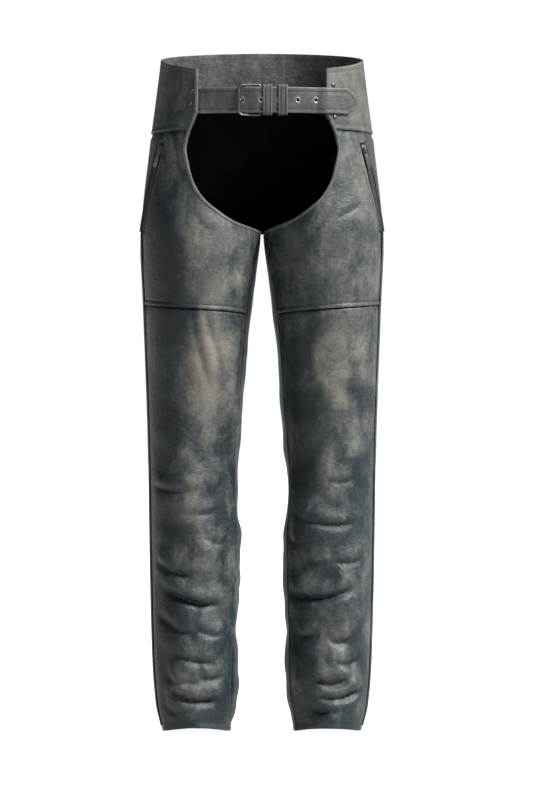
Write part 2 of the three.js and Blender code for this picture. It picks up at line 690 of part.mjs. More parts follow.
function slider() {
  const top = SLIDER.body;
  const body = new THREE.Shape();
  const half = SLIDER.wide / 2;
  const end = SLIDER.long / 2;
  body.moveTo(-end, -half * 0.8);
  body.lineTo(-end * 0.5, -half);
  body.lineTo(end, -half * 0.75);
  body.lineTo(end, half * 0.75);
  body.lineTo(-end * 0.5, half);
  body.lineTo(-end, half * 0.8);
  body.closePath();
  const plate = new THREE.ExtrudeGeometry(body, { depth: top, bevelEnabled: false });
  const high = top + SLIDER.clear + SLIDER.bar;
  const side = new THREE.Shape();
  side.moveTo(ARCH.high, top - 0.5);
  side.lineTo(ARCH.high + 0.6, high);
  side.lineTo(ARCH.low - 0.6, high);
  side.lineTo(ARCH.low, top - 0.5);
  side.closePath();
  const hole = new THREE.Path();
  hole.moveTo(ARCH.high + 1.1, top);
  hole.lineTo(ARCH.low - 1, top);
  hole.lineTo(ARCH.low - 1.1, top + SLIDER.clear);
  hole.lineTo(ARCH.high + 1.3, top + SLIDER.clear);
  hole.closePath();
  side.holes.push(hole);
  const arch = new THREE.ExtrudeGeometry(side, { depth: SLIDER.archWide, bevelEnabled: false })
    .rotateX(Math.PI / 2).translate(0, SLIDER.archWide / 2, 0);
  return join(plate, arch);
}

// Long oval puller lying down the zip from its cross bar, which is the hinge.
function puller() {
  const half = PULLER.wide / 2;
  const end = PULLER.long - half;
  const outline = new THREE.Shape();
  outline.moveTo(-PULLER.cross / 2, -half * 0.75);
  outline.lineTo(end, -half);
  outline.absarc(end, 0, half, -Math.PI / 2, Math.PI / 2, false);
  outline.lineTo(-PULLER.cross / 2, half * 0.75);
  outline.closePath();
  const window = new THREE.Path();
  window.moveTo(PULLER.cross / 2, -PULLER.slot / 2);
  window.lineTo(PULLER.cross / 2, PULLER.slot / 2);
  window.lineTo(PULLER.cross / 2 + PULLER.window, PULLER.slot / 2);
  window.lineTo(PULLER.cross / 2 + PULLER.window, -PULLER.slot / 2);
  window.closePath();
  outline.holes.push(window);
  return new THREE.ExtrudeGeometry(outline, { depth: PULLER.thick, bevelEnabled: false, curveSegments: 6 })
    .translate(0, 0, -PULLER.thick / 2);
}

function addSlider(name, frame, finish) {
  const lift = ZIP_CHAIN.thick / 2 + SLIDER_GAP;
  const { place, along, across, out } = frame;
  const seat = place.clone().addScaledVector(out, lift);
  const y = out.clone().cross(along).normalize();
  addPair(`${name}_slider`, placed(slider(), seat, along, y, out), finish);
  const pivot = seat.clone().addScaledVector(along, PULLER.pivot)
    .addScaledVector(out, SLIDER.body + SLIDER.clear / 2);
  addPair(`${name}_puller`, placed(puller(), pivot, along, y, out), finish);
}

function legZipFrame(share) {
  const end = (height) => skin(SIDE_SEAM, height).setY(LEG_ZIP.y);
  const top = end(LEG_ZIP.topHeight);
  const low = end(LEG_ZIP.lowHeight);
  const along = low.clone().sub(top).normalize();
  const out = new THREE.Vector3(1, Math.tan(-SIDE_SEAM), 0);
  out.addScaledVector(along, -out.dot(along)).normalize();
  const across = along.clone().cross(out);
  const place = top.lerp(low, share).addScaledVector(out, -LEG_ZIP.depth);
  return { place, along, across, out };
}

function zips() {
  addPair('hip_zip', alongFrames(steps(0, 1, 6).map(hipZipFrame), zipSection(HIP_ZIP.tape)), zipTape);
  addSlider('hip_zip', hipZipFrame(HIP_ZIP.slider), nickel);
  addPair('leg_zip', alongFrames([0, 1].map(legZipFrame), zipSection(LEG_ZIP.tape)), zipTape);
  const share = (LEG_ZIP.topHeight - LEG_ZIP.sliderHeight) / (LEG_ZIP.topHeight - LEG_ZIP.lowHeight);
  addSlider('leg_zip', legZipFrame(share), gunmetal);
}

function pocketBags() {
  addPair('hip_pocket_bag', panel({
    heights: steps(POCKET.low, POCKET.high, 4),
    columns: 4,
    from: () => POCKET.from,
    to: () => POCKET.to,
    bend: (angle, height) => height,
    depth: POCKET.depth,
    thick: POCKET.thick,
  }), blackLining);
}

// ---- storm flaps with their snaps

// Angle at a distance round the leg behind the flap's sewn edge.
function behindFlapEdge(height, distance) {
  return FLAP.edge - distance / legDepth(height);
}

function flaps() {
  const depth = -FLAP.standoff - FLAP.thick;
  addPair('storm_flap', panel({
    heights: [FLAP.low, ...LOWER_HEIGHTS.slice(1), THIGH_START, UPPER_HEIGHTS[0], FLAP.top],
    columns: 4,
    from: (height) => behindFlapEdge(height, FLAP.wide),
    to: () => FLAP.edge,
    bend: (angle, height) => height,
    depth,
    thick: FLAP.thick,
  }), thighLeather);
  const { radius, high } = SNAP_CAP;
  const cap = [[0, 0], [radius, 0], [radius * 0.8, high * 0.8], [0, high]];
  const stud = [[0, 0], [SNAP_STUD.radius, 0], [SNAP_STUD.radius, SNAP_STUD.high], [0, SNAP_STUD.high]];
  const angle = behindFlapEdge(SNAP_HEIGHT, SNAP_FROM_EDGE);
  addPair('ankle_snap_cap', onSkin(turnedSolid(cap, 12), angle, SNAP_HEIGHT, depth - PLY_GAP), nickel);
  addPair('ankle_snap_stud', onSkin(turnedSolid(stud, 12), angle, SNAP_HEIGHT, -PLY_GAP), nickel);
}

// Turned solid about local Z whose outline starts and ends on the axis.
function turnedSolid(outline, segments) {
  return new THREE.LatheGeometry(outline.map(([r, h]) => new THREE.Vector2(r, h)), segments)
    .rotateX(Math.PI / 2);
}

function onSkin(geometry, angle, height, depth) {
  const out = normalAt(angle, height).normalize();
  const across = new THREE.Vector3(0, 0, 1).cross(out).normalize();
  return placed(geometry, skin(angle, height, depth), across, out.clone().cross(across), out);
}

// ---- belt

// Place on the belt from x, the radius and the height.
function onBelt(x, radius, height = BELT_HEIGHT) {
  return new THREE.Vector3(x, BELT_CENTRE_Y - Math.sqrt(radius * radius - x * x), height);
}

function beltCentre() {
  const edge = skin(angleAt(YOKE_EDGE, BELT_HEIGHT, 1), BELT_HEIGHT, TIP_ANCHOR_DEPTH);
  return edge.y + Math.sqrt(BELT_RADIUS ** 2 - edge.x ** 2);
}

// Place at x on the front of the yoke at the belt's height; negative x is the right half.
function onYoke(x, depth, height = BELT_HEIGHT) {
  const point = skin(angleAt(Math.abs(x), height, 1), height, depth);
  return new THREE.Vector3(Math.sign(x) * point.x, point.y, height);
}

function mix(a, b, share) {
  return a.clone().lerp(b, share);
}

// Middle of each strap's thickness at x and a height: upright between the yokes and lying
// along the leaning yoke beyond them.
function tipLine(x, height = BELT_HEIGHT) {
  if (x < YOKE_REACH + LEAN_CLEAR - YOKE_EDGE) {
    return mix(onBelt(x, BELT_RADIUS, height), onYoke(x, TIP_ANCHOR_DEPTH, height), yokeLean(-x));
  }
  const rise = smooth(x, EYELETS.first - 3.5, HEEL_BAR_X - 6);
  const middle = onBelt(x, lerp(BELT_RADIUS, TIP_OVER_RADIUS, rise), height);
  const stack = TIP_OVER_RADIUS - BUCKLE_STRAP_RADIUS;
  const along = mix(middle, onYoke(x, BUCKLE_ANCHOR_DEPTH - stack, height), yokeLean(x));
  return mix(along, onYoke(x, -TIP_OVER_YOKE, height), smooth(x, YOKE_EDGE - OVER_RISE, YOKE_EDGE - 0.6));
}

function yokeLean(x) {
  return smooth(x, YOKE_EDGE - LEAN_CLEAR - YOKE_REACH, YOKE_EDGE - LEAN_CLEAR);
}

function buckleStrapLine(x, height = BELT_HEIGHT) {
  return mix(onBelt(x, BUCKLE_STRAP_RADIUS, height), onYoke(x, BUCKLE_ANCHOR_DEPTH, height), yokeLean(x));
}

// Band between a lower and an upper line of places.
function band(lower, upper, thick) {
  const sides = (line, i) => {
    const before = line[Math.max(i - 1, 0)];
    const after = line[Math.min(i + 1, line.length - 1)];
    const side = after.clone().sub(before).setZ(0).normalize().cross(UP).multiplyScalar(thick / 2);
    return [line[i].clone().sub(side), line[i].clone().add(side)];
  };
  return sweep(lower.map((_, i) => [...sides(lower, i), ...sides(upper, i).reverse()]));
}

// Band whose middle follows `line` and whose half height is given at each x.
function strapBand(line, xs, halves, thick) {
  const edge = (sense) => xs.map((x, i) => line(x, BELT_HEIGHT + sense * halves[i]));
  return band(edge(-1), edge(1), thick);
}

const UP = new THREE.Vector3(0, 0, 1);

// Frame of a line at x: along it, up, and out to the front.
function lineFrame(line, x) {
  const along = line(x + 0.5).sub(line(x - 0.5)).normalize();
  return { place: line(x), along, up: UP.clone(), out: along.clone().cross(UP) };
}

function eyeletSolid() {
  const outer = TIP_THICK / 2 + EYELET_PROUD;
  const inner = TIP_THICK / 2 + 0.15;
  return turned([[EYELET_HOLE, -outer], [EYELET_FLANGE, -outer], [EYELET_FLANGE, -inner],
    [EYELET_BARREL, -inner], [EYELET_BARREL, inner], [EYELET_FLANGE, inner], [EYELET_FLANGE, outer],
    [EYELET_HOLE, outer]], 10);
}

function drill(radius, length) {
  return new THREE.CylinderGeometry(radius, radius, length, 10).rotateX(Math.PI / 2);
}

function onLine(geometry, line, x) {
  const { place, along, up, out } = lineFrame(line, x);
  return placed(geometry, place, along, up.clone(), out.clone());
}

function tipStrap() {
  const shoulder = TIP_SHOULDER_X;
  const heldEnd = [TIP_ANCHOR_LENGTH, 26, 17.4, 9.4, 3.4, -2.6, -6.6, -10.6, -14.6, -18.6]
    .map((reach) => -YOKE_EDGE - reach);
  const overYoke = [-11.6, -8.6, -5.6, -2.6, 0.4, 5.4, 11.4, 18.4, 25.4].map((reach) => YOKE_EDGE + reach);
  const middle = EYELETS.first;
  const xs = [...heldEnd, ...steps(YOKE_EDGE * -0.7, middle - 3.5, 3),
    ...steps(middle + 1.5, HEEL_BAR_X - 6, 4),
    ...steps(HEEL_BAR_X + 4, YOKE_EDGE - 18.6, 6), ...overYoke, shoulder, shoulder + TIP_POINT / 3,
    shoulder + TIP_POINT * 2 / 3, TIP_END_X];
  const half = BELT_WIDTH / 2;
  const halves = xs.map((x) => (x <= shoulder ? half
    : Math.max(half * (1 - (x - shoulder) / (TIP_END_X - shoulder)) ** 0.75, 1.2)));
  const drills = EYELET_XS.map((x) => onLine(drill(STRAP_HOLE, 12), tipLine, x));
  const holes = Object.values(RIVETS).filter((rivet) => rivet.side < 0)
    .map((rivet) => rivetHole(rivet).scale(-1, 1, 1)).map(facingOut);
  add('belt_tip_strap', cut(strapBand(tipLine, xs, halves, TIP_THICK), ...drills, ...holes), strapLeather);
  EYELET_XS.forEach((x, i) => add(`belt_eyelet_${i + 1}`, onLine(eyeletSolid(), tipLine, x), nickel));
}

function buckleStrap() {
  const outwards = [...[BUCKLE_ANCHOR_LENGTH, 26.4, 19.4, 13.4, 8.4, 3.4, -2.6, -6.6, -10.6, -14.6, -18.6]
    .map((reach) => YOKE_EDGE + reach), ...steps(YOKE_EDGE - 28.6, HEEL_BAR_X + 8, 5), HEEL_BAR_X];
  const foldRadius = BUCKLE_STRAP_RADIUS - HEEL_BAR_RADIUS;
  const fold = steps(90, 270, 8).slice(1).map((turn) => [HEEL_BAR_X + foldRadius * Math.cos(rad(turn)),
    HEEL_BAR_RADIUS + foldRadius * Math.sin(rad(turn))]);
  for (const share of [0.5, 1]) fold.push([HEEL_BAR_X + share * FOLD_LENGTH, HEEL_BAR_RADIUS - foldRadius]);
  const flare = profile([[YOKE_EDGE + 0.4, BELT_WIDTH / 2], [YOKE_EDGE + 7.4, BUCKLE_ANCHOR_HALF],
    [YOKE_EDGE + 50, BUCKLE_ANCHOR_HALF]]);
  const edge = (sense) => [
    ...outwards.map((x) => buckleStrapLine(x, BELT_HEIGHT + sense * flare(x))),
    ...fold.map(([x, radius]) => onBelt(x, radius, BELT_HEIGHT + sense * flare(x)))];
  const slot = new THREE.BoxGeometry(16, 24, FOLD_SLOT)
    .translate(HEEL_BAR_X - 1, BELT_CENTRE_Y - HEEL_BAR_RADIUS, BELT_HEIGHT);
  const holes = Object.values(RIVETS).filter((rivet) => rivet.side > 0).map(rivetHole);
  add('belt_buckle_strap', cut(band(edge(-1), edge(1), BUCKLE_STRAP_THICK), slot, ...holes), strapLeather);
}

function buckleFrame() {
  const heel = onBelt(HEEL_BAR_X, HEEL_BAR_RADIUS);
  const front = onBelt(FRONT_BAR_X, FRONT_BAR_RADIUS);
  const length = heel.distanceTo(front);
  const across = front.clone().sub(heel).normalize();
  const corners = [[0, -1, 180, 270], [1, -1, 270, 360], [1, 1, 0, 90], [0, 1, 90, 180]];
  const points = corners.flatMap(([far, high, from, to]) => steps(from, to, 3).map((turn) => {
    const corner = far ? BUCKLE_CORNERS.front : BUCKLE_CORNERS.heel;
    const a = far * length + (far ? -1 : 1) * corner + corner * Math.cos(rad(turn));
    const b = high * (BUCKLE_HALF_HEIGHT - corner) + corner * Math.sin(rad(turn));
    return heel.clone().addScaledVector(across, a).addScaledVector(UP, b);
  }));
  const normal = across.clone().cross(UP).normalize();
  add('buckle_frame', wire(points, normal, roundSection(BUCKLE_WIRE), true), nickel);
}

function buckleProng() {
  const loop = BUCKLE_WIRE / 2 + PRONG_FIT + PRONG_WIRE / 2;
  const round = steps(150, -90, 10).map((turn) => [HEEL_BAR_X + loop * Math.cos(rad(turn)),
    HEEL_BAR_RADIUS + loop * Math.sin(rad(turn))]);
  const low = HEEL_BAR_RADIUS - loop;
  // Behind the tip strap, out through the first eyelet and over the front bar.
  const hole = EYELETS.first;
  const rest = FRONT_BAR_RADIUS + (BUCKLE_WIRE + PRONG_WIRE) / 2 + PRONG_FIT;
  const shank = [[hole + 21.5, low + 0.1], [hole + 14.5, low + 0.6], [hole + 8.5, low + 1.2],
    [hole + 4, low + 1.9],
    [hole + 1.5, low + 3.1], [hole + 0.2, low + 5.4], [hole - 0.1, rest - 7.8], [hole - 0.6, rest - 5],
    [hole - 1.9, rest - 2.4], [hole - 4.1, rest - 0.4], [FRONT_BAR_X - 2, rest]];
  const points = [...round, ...shank].map(([x, radius]) => onBelt(x, radius));
  add('buckle_prong', wire(points, UP, roundSection(PRONG_WIRE)), nickel);
}

function keeper(name, x) {
  const outer = KEEPER_OUTER_RADIUS;
  const inner = KEEPER_INNER_RADIUS[name];
  const middle = (outer + inner) / 2;
  const halfDeep = (outer - inner - KEEPER_WALL) / 2;
  const halfHigh = KEEPER_HALF - KEEPER_WALL / 2;
  const corner = 2.2;
  const ring = [[1, 1, 0], [-1, 1, 90], [-1, -1, 180], [1, -1, 270]].flatMap(([deep, high, from]) => (
    steps(from, from + 90, 2).map((turn) => [
      deep * (halfDeep - corner) + corner * Math.cos(rad(turn)),
      high * (halfHigh - corner) + corner * Math.sin(rad(turn))])));
  const { along, out } = lineFrame((at) => onBelt(at, middle), x);
  const centre = onBelt(x, middle);
  const points = ring.map(([o, z]) => centre.clone().addScaledVector(out, o).addScaledVector(UP, z));
  add(`belt_keeper_${name}`, wire(points, along, flatSection(KEEPER_WIDTH, KEEPER_WALL), true), strapLeather);
}

// ---- rivets that hold the belt straps to the front yokes

function rivetHole({ reach, rise }) {
  return onRivetPlace(drill(RIVET_HOLE, 40), reach, rise);
}

function onRivetPlace(geometry, reach, rise) {
  const height = BELT_HEIGHT + rise;
  return onSkin(geometry, angleAt(YOKE_EDGE + reach, height, 1), height, 0);
}

function rivets() {
  for (const [name, { side, reach, rise, stack }] of Object.entries(RIVETS)) {
    const outer = PLY_GAP;
    const inner = -stack - PLY_GAP;
    const solid = turnedSolid([[0, inner - 1.2], [RIVET_HEAD * 0.9, inner - 0.9], [RIVET_HEAD * 0.9, inner],
      [RIVET_SHANK, inner], [RIVET_SHANK, outer], [RIVET_HEAD, outer], [RIVET_HEAD * 0.75, outer + 1.2],
      [0, outer + 1.7]], 12);
    const geometry = onRivetPlace(solid, reach, rise);
    add(`strap_rivet_${name}`, side > 0 ? geometry : facingOut(geometry.scale(-1, 1, 1)), nickel);
  }
}

legPanels();
legLinings();
yokes();
bindings();
zips();
pocketBags();
flaps();
tipStrap();
buckleStrap();
buckleFrame();
buckleProng();
keeper('fixed', KEEPER_XS.fixed);
keeper('sliding', KEEPER_XS.sliding);
rivets();

// The origin is the middle of the waist, at the belt's height.
const chaps = new THREE.Group();
garment.position.z = -BELT_HEIGHT;
chaps.add(garment);

export default chaps;
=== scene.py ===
"""Looks of the leather chaps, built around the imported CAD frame.

Sizes in the code are millimetres with heights from the hems, as in the CAD source, and become
metres with the origin at the waist when a mesh is made. +X is the wearer's left, -Y the front.
"""
import math

import bpy
import numpy as np
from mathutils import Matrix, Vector

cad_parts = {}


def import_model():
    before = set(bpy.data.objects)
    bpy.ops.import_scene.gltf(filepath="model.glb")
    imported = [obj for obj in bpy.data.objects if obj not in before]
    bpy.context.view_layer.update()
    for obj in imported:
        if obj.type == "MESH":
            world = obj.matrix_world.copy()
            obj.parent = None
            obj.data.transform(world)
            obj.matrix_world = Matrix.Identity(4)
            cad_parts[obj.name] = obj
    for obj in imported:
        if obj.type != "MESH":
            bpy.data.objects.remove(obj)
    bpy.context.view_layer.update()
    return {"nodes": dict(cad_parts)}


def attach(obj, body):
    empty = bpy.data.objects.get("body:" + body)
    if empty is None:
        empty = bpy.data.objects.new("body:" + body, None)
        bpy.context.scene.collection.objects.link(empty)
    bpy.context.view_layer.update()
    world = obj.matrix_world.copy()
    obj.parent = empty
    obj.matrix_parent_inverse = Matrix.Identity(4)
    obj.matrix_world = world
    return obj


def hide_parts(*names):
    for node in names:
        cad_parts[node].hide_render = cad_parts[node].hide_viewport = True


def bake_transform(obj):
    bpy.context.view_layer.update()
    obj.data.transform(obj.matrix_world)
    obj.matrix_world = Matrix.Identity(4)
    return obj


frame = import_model()

# ------------------------------------------------------------------ dimensions, as in the CAD
CROTCH = 773.5
HIP_HALF = 186.0
LEG_DEPTH = 101.0
WAIST_DEPTH = 103.0
THIGH_OUTER = CROTCH - 112.5
YOKE_SIDE = CROTCH + 155
RIM_SIDE = CROTCH + 266.5
BELT = CROTCH + 197.5
INSEAM = math.radians(155)
CROTCH_BACK = math.radians(-165)
SIDE = math.radians(-8)
FULL_TURN = 2 * math.pi
LEATHER = 2.2
LINING_DEPTH = LEATHER + 2.6
SEAM_GAP = 0.5
BIND_WIDE = 5.4
PANEL_INSET = BIND_WIDE + 0.8
TUCK = 3.4
YOKE_EDGE = 98.6
BELT_WIDE = 39.5
BELT_RADIUS = 218.2
TIP_THICK = 3.0
BUCKLE_THICK = 2.4
BUCKLE_RADIUS = BELT_RADIUS - 1.2
TIP_OVER = BUCKLE_RADIUS + (BUCKLE_THICK + TIP_THICK) / 2 + 1.2
WIRE = 3.5
PRONG = 2.3
HEEL_X = -2.0
HEEL_RADIUS = BUCKLE_RADIUS - (BUCKLE_THICK + WIRE) / 2 - 0.35
FRONT_X = HEEL_X - 33
FRONT_RADIUS = BELT_RADIUS + (TIP_THICK + WIRE) / 2 + 1.35
EYELETS = [-29.5 + 28 * i for i in range(5)]
TIP_END = YOKE_EDGE + 49.4
TIP_SHOULDER = TIP_END - 18
FLAP_EDGE = math.radians(6.5)
FLAP_WIDE = 37.0
FLAP_LOW, FLAP_TOP = 8.0, CROTCH + 0.5
FLAP_STANDOFF, FLAP_THICK = 2.9, 1.5
SNAP_HEIGHT, SNAP_BACK = 42.0, 29.0
LINER_THICK = 1.0
HEM_CURVE = 7
THIGH_START = CROTCH - 133.5
SLOT_HALF, SLOT_IN, SLOT_OUT = 5.75, -16, 12
CREASE_ANGLE = 48

# ------------------------------------------------------------------ where stitches run
SEAM_STITCH_UP = 7.0
YOKE_STITCH_UP = 8.7
RIM_STITCH_DROP, BAND_STITCH_DROP = 7, 82
HEM_STITCH_UP = 11
SLOT_STITCH_INSET = 9.2
BELT_STITCH_INSET = 6.4
STITCH_ABOVE, STITCH_SINK = .02, .1
BELT_PITCH, FACING_PITCH = 3.3, 3.6


# ------------------------------------------------------------------ small maths
def profile(points):
    """Smooth curve through (place, value) pairs that never overshoots them."""
    xs, ys = (np.array(v, float) for v in zip(*points))
    steep = np.diff(ys) / np.diff(xs)
    slopes = np.concatenate([steep[:1], np.zeros(len(xs) - 2), steep[-1:]])
    a, b = steep[:-1], steep[1:]
    same = a * b > 0
    slopes[1:-1][same] = (2 * a * b)[same] / (a + b)[same]

    def at(place):
        p = np.clip(np.asarray(place, float), xs[0], xs[-1])
        i = np.clip(np.searchsorted(xs, p, side="right") - 1, 0, len(xs) - 2)
        span = xs[i + 1] - xs[i]
        t = (p - xs[i]) / span
        return ((2 * t**3 - 3 * t**2 + 1) * ys[i] + (t**3 - 2 * t**2 + t) * span * slopes[i]
                + (3 * t**2 - 2 * t**3) * ys[i + 1] + (t**3 - t**2) * span * slopes[i + 1])
    return at


def smooth(value, low, high):
    t = np.clip((np.asarray(value, float) - low) / (high - low), 0, 1)
    return t * t * (3 - 2 * t)


def mix(a, b, share):
    return a + (b - a) * share


def unit(v):
    return v / np.maximum(np.linalg.norm(v, axis=-1, keepdims=True), 1e-9)


def bell(distance, width):
    return np.exp(-(distance / width) ** 2)


# ------------------------------------------------------------------ the garment's surface
def below(pairs):
    return [(share * CROTCH, size) for share, size in pairs]


def above(pairs):
    return [(CROTCH + rise, size) for rise, size in pairs]


def sized(scale, pairs):
    return [(height, share * scale) for height, share in pairs]


outer_half = profile(sized(HIP_HALF, [
    *below([(0, .823), (.058, .871), (.142, .898), (.336, .919), (.556, .933), (.84, .973)]),
    *above([(3.5, 1), (126.5, .938), (206.5, .882), (286.5, .828)])]))
inner_half = profile([
    *below([(0, 49), (.078, 40), (.194, 37), (.375, 34), (.517, 37), (.653, 29), (.802, 20), (.924, 8),
            (.984, 2.3)]), *above([(1.5, 1.6), (330, 1.6)])])
leg_depth = profile(sized(LEG_DEPTH, [
    *below([(0, .574), (.142, .614), (.388, .703), (.569, .713), (.84, .881)]), *above([(0, 1), (330, 1)])]))
leg_middle = profile(below([(0, 5), (.388, 4), (.595, 1), (.84, 0), (1.4, 0)]))
hip_depth = profile(sized(WAIST_DEPTH, above([(-73.5, 1.146), (86.5, 1.155), (163.5, 1.087), (286.5, 1)])))
front_opening = profile(above([
    (0, 1.7), (14.5, 43.5), (30.5, 68), (45.5, 86.4), (61.5, 98.6), (76.5, 106.2), (92.5, 111),
    (106.5, 114.2), (122.5, 116.8), (137.5, 114.6), (152.5, 110), (167.5, 103.6), (182.5, 99),
    (198.5, YOKE_EDGE), (330, YOKE_EDGE)]))
seat_opening = profile(above([
    (0, 1.7), (11.5, 30), (26.5, 52), (46.5, 68), (71.5, 76), (106.5, 77), (155, 66)]))


def face(angle, height):
    outer, inner = outer_half(height), inner_half(height)
    hip = smooth(height, CROTCH - 8.5, CROTCH + 116.5)
    leg_x = (outer + inner) / 2 + (outer - inner) / 2 * np.cos(angle)
    leg_y = leg_middle(height) - leg_depth(height) * np.sin(angle)
    hip_x = outer * np.cos(angle / 2)
    hip_y = -hip_depth(height) * np.sin(angle / 2)
    return np.stack([mix(leg_x, hip_x, hip), mix(leg_y, hip_y, hip), height + 0 * leg_x], -1)


def normal(angle, height):
    around = face(angle + .01, height) - face(angle - .01, height)
    up = face(angle, height + 1) - face(angle, height - 1)
    return unit(np.cross(up, around))


def skin(angle, height, depth=0.0):
    angle, height = np.broadcast_arrays(np.asarray(angle, float), np.asarray(height, float))
    return face(angle, height) - normal(angle, height) * np.asarray(depth, float)[..., None]


def angle_at(x, height, sense):
    x, height = np.broadcast_arrays(np.asarray(x, float), np.asarray(height, float))
    low, high = np.zeros(x.shape), np.full(x.shape, math.pi)
    for _ in range(32):
        middle = (low + high) / 2
        outside = face(sense * middle, height)[..., 0] > x
        low, high = np.where(outside, middle, low), np.where(outside, high, middle)
    return sense * (low + high) / 2


def opening_edge(opening, height, sense, inset):
    slope = opening(height + .5) - opening(height - .5)
    return angle_at(opening(height) + inset * np.hypot(1, slope), height, sense)


def front_edge(height, inset):
    return opening_edge(front_opening, height, 1, inset)


def seat_edge(height, inset):
    return opening_edge(seat_opening, height, -1, inset)


def rim(angle):
    return RIM_SIDE - np.where(angle > 0, 24.5, 17.0) * np.sin(angle / 2)


def yoke_seam(angle):
    turn = np.sin(angle / 2)
    return YOKE_SIDE + np.where(angle > 0, 3.5 * turn, -48 * turn**2)


def thigh_seam(angle):
    return THIGH_OUTER - 15 * np.maximum(angle, 0) / INSEAM


def under_yoke(angle, height):
    return height + (yoke_seam(angle) - YOKE_SIDE) * smooth(height, CROTCH + 16.5, YOKE_SIDE)


def front_leg_end(height):
    return np.where(height < CROTCH + 3, INSEAM, np.minimum(INSEAM, front_edge(height, TUCK)))


def back_leg_end(height):
    end = np.where(height < CROTCH, CROTCH_BACK, seat_edge(height, TUCK))
    return np.where(height < CROTCH - .5, INSEAM - FULL_TURN, end)


def zip_edge(height, sense):
    slot = np.where(height > CROTCH - 21.5, 0.0, 17.0)
    return SIDE + sense * slot / 2 / leg_depth(height)


# ------------------------------------------------------------------ folds in the leather
# Creases seen on each leg's front: from (x, z) to (x, z) in mm, x from the middle, and strength.
CREASES = {
    "right": [
        (169, 381, 105, 373, .6), (121, 338, 73, 340, .45), (160, 262, 114, 243, .9),
        (146, 220, 73, 197, 1.3),
        (160, 180, 108, 152, .7), (85, 640, 62, 560, .3), (104, 635, 84, 540, .35), (70, 600, 58, 520, .25),
        (127, 120, 76, 108, .8), (143, 84, 104, 77, .8), (92, 84, 64, 85, .6),
        (134, 63, 73, 49, 1.3), (147, 36, 119, 33, .6), (88, 300, 60, 292, .4), (100, 160, 66, 150, .6)],
    "left": [
        (128, 630, 140, 540, .3), (66, 610, 76, 540, .25), (102, 387, 140, 390, .5), (62, 331, 134, 321, 1.0),
        (115, 264, 151, 267, .7), (50, 211, 133, 219, 1.3),
        (104, 143, 131, 141, .7), (121, 106, 148, 113, .8), (84, 84, 130, 81, 1.5), (95, 55, 150, 64, 1.3),
        (80, 37, 116, 35, .8), (60, 150, 88, 156, .7), (70, 268, 98, 262, .5), (58, 290, 40, 300, .4)],
}

HIP_CREASES = {
    "right": [(134, 926, 124, 862, .5), (152, 925, 145, 880, .3), (100, 792, 78, 770, .25)],
    "left": [(128, 925, 122, 884, .25), (150, 812, 118, 792, .25), (96, 790, 74, 764, .3)]}


def back_creases(seed):
    """Creases for the back of a leg, which no picture shows: deepest behind the knee and ankle."""
    rng = np.random.default_rng(seed)
    found = []
    for z, strength in [(560, .4), (505, .8), (470, 1.1), (430, .8), (380, .4), (300, .5), (240, .7),
                        (190, 1.0), (150, .7), (112, 1.0), (80, .9), (48, 1.0)]:
        x = 105 + rng.uniform(-22, 22)
        half = rng.uniform(22, 38)
        found.append((x - half, z + rng.uniform(-8, 8), x + half, z + rng.uniform(-8, 8), strength))
    return found


def crease_field(x, z, creases, scale=1.0):
    total = np.zeros(x.shape)
    for x0, z0, x1, z1, strength in creases:
        long = math.hypot(x1 - x0, z1 - z0)
        ux, uz = (x1 - x0) / long, (z1 - z0) / long
        if ux < 0:
            ux, uz, x0, z0 = -ux, -uz, x1, z1
        along = ((x - x0) * ux + (z - z0) * uz) / long
        bow = 5 * strength * (1 - (2 * along - 1) ** 2)
        off = (z - z0) * ux - (x - x0) * uz + bow
        ends = smooth(along, -.22, .18) * (1 - smooth(along, .82, 1.22))
        size = 1 + .35 * strength
        total += strength * ends * scale * (
            4.4 * bell(off - 9.5 * size, 9.5 * size) - 5.8 * bell(off, 4.0 * size)
            + 2.2 * bell(off + 12 * size, 10 * size))
    return total


def ripple(x, z, seed, scale):
    """Soft irregular swell of about +-1."""
    rng = np.random.default_rng(seed)
    total = np.zeros(x.shape)
    for _ in range(9):
        turn = rng.uniform(0, math.pi)
        wave = scale * rng.uniform(.6, 1.6)
        warp = .8 * np.sin(x / wave * 1.3 + rng.uniform(0, 6))
        warp = warp + .8 * np.sin(z / wave * .9 + rng.uniform(0, 6))
        across = x * math.cos(turn) + z * math.sin(turn)
        total += np.sin(across / wave * FULL_TURN / 2 + warp + rng.uniform(0, 6))
    return total / 3.6


def lift(side, angle, height):
    """How far the leather stands off the drawn surface, in mm."""
    place = face(angle, height)
    x, z = place[..., 0], place[..., 2]
    wrapped = np.where(angle < -math.pi, angle + FULL_TURN, angle)
    round_leg = leg_depth(height)
    is_back = (angle < SIDE) & (angle > INSEAM - FULL_TURN)
    to_zip = np.abs(angle - SIDE) * round_leg
    to_inseam = np.abs(np.where(wrapped > 0, wrapped, wrapped + FULL_TURN) - INSEAM) * round_leg
    hold = smooth(to_zip, 30, 62) * (.25 + .75 * smooth(to_inseam, 0, 26))
    fade = 1 - smooth(height, CROTCH - 120, CROTCH - 20)
    seed = 11 if side == "right" else 23
    front = crease_field(x, z, CREASES[side])
    back = crease_field(x, z, back_creases(seed), .7)
    low = 1 - smooth(height, 330, 520)
    swell = np.where(is_back, ripple(x, z, seed + 5, 58), ripple(x, z, seed, 58)) * mix(1.4, 3.5, low)
    fine = np.where(is_back, ripple(x, z, seed + 9, 21), ripple(x, z, seed + 3, 21)) * mix(.3, 1.0, low)
    hip = crease_field(x, z, HIP_CREASES[side]) * smooth(x - front_opening(height), 4, 20) * (angle > 0)
    dent = smooth(height, CROTCH - 54, CROTCH - 40) * (1 - smooth(height, CROTCH + 2, CROTCH + 14))
    return (hold * (fade * (np.where(is_back, back, front) + swell + fine) + hip)
            - .9 * dent * bell((angle - math.radians(11)) * 100, 12))


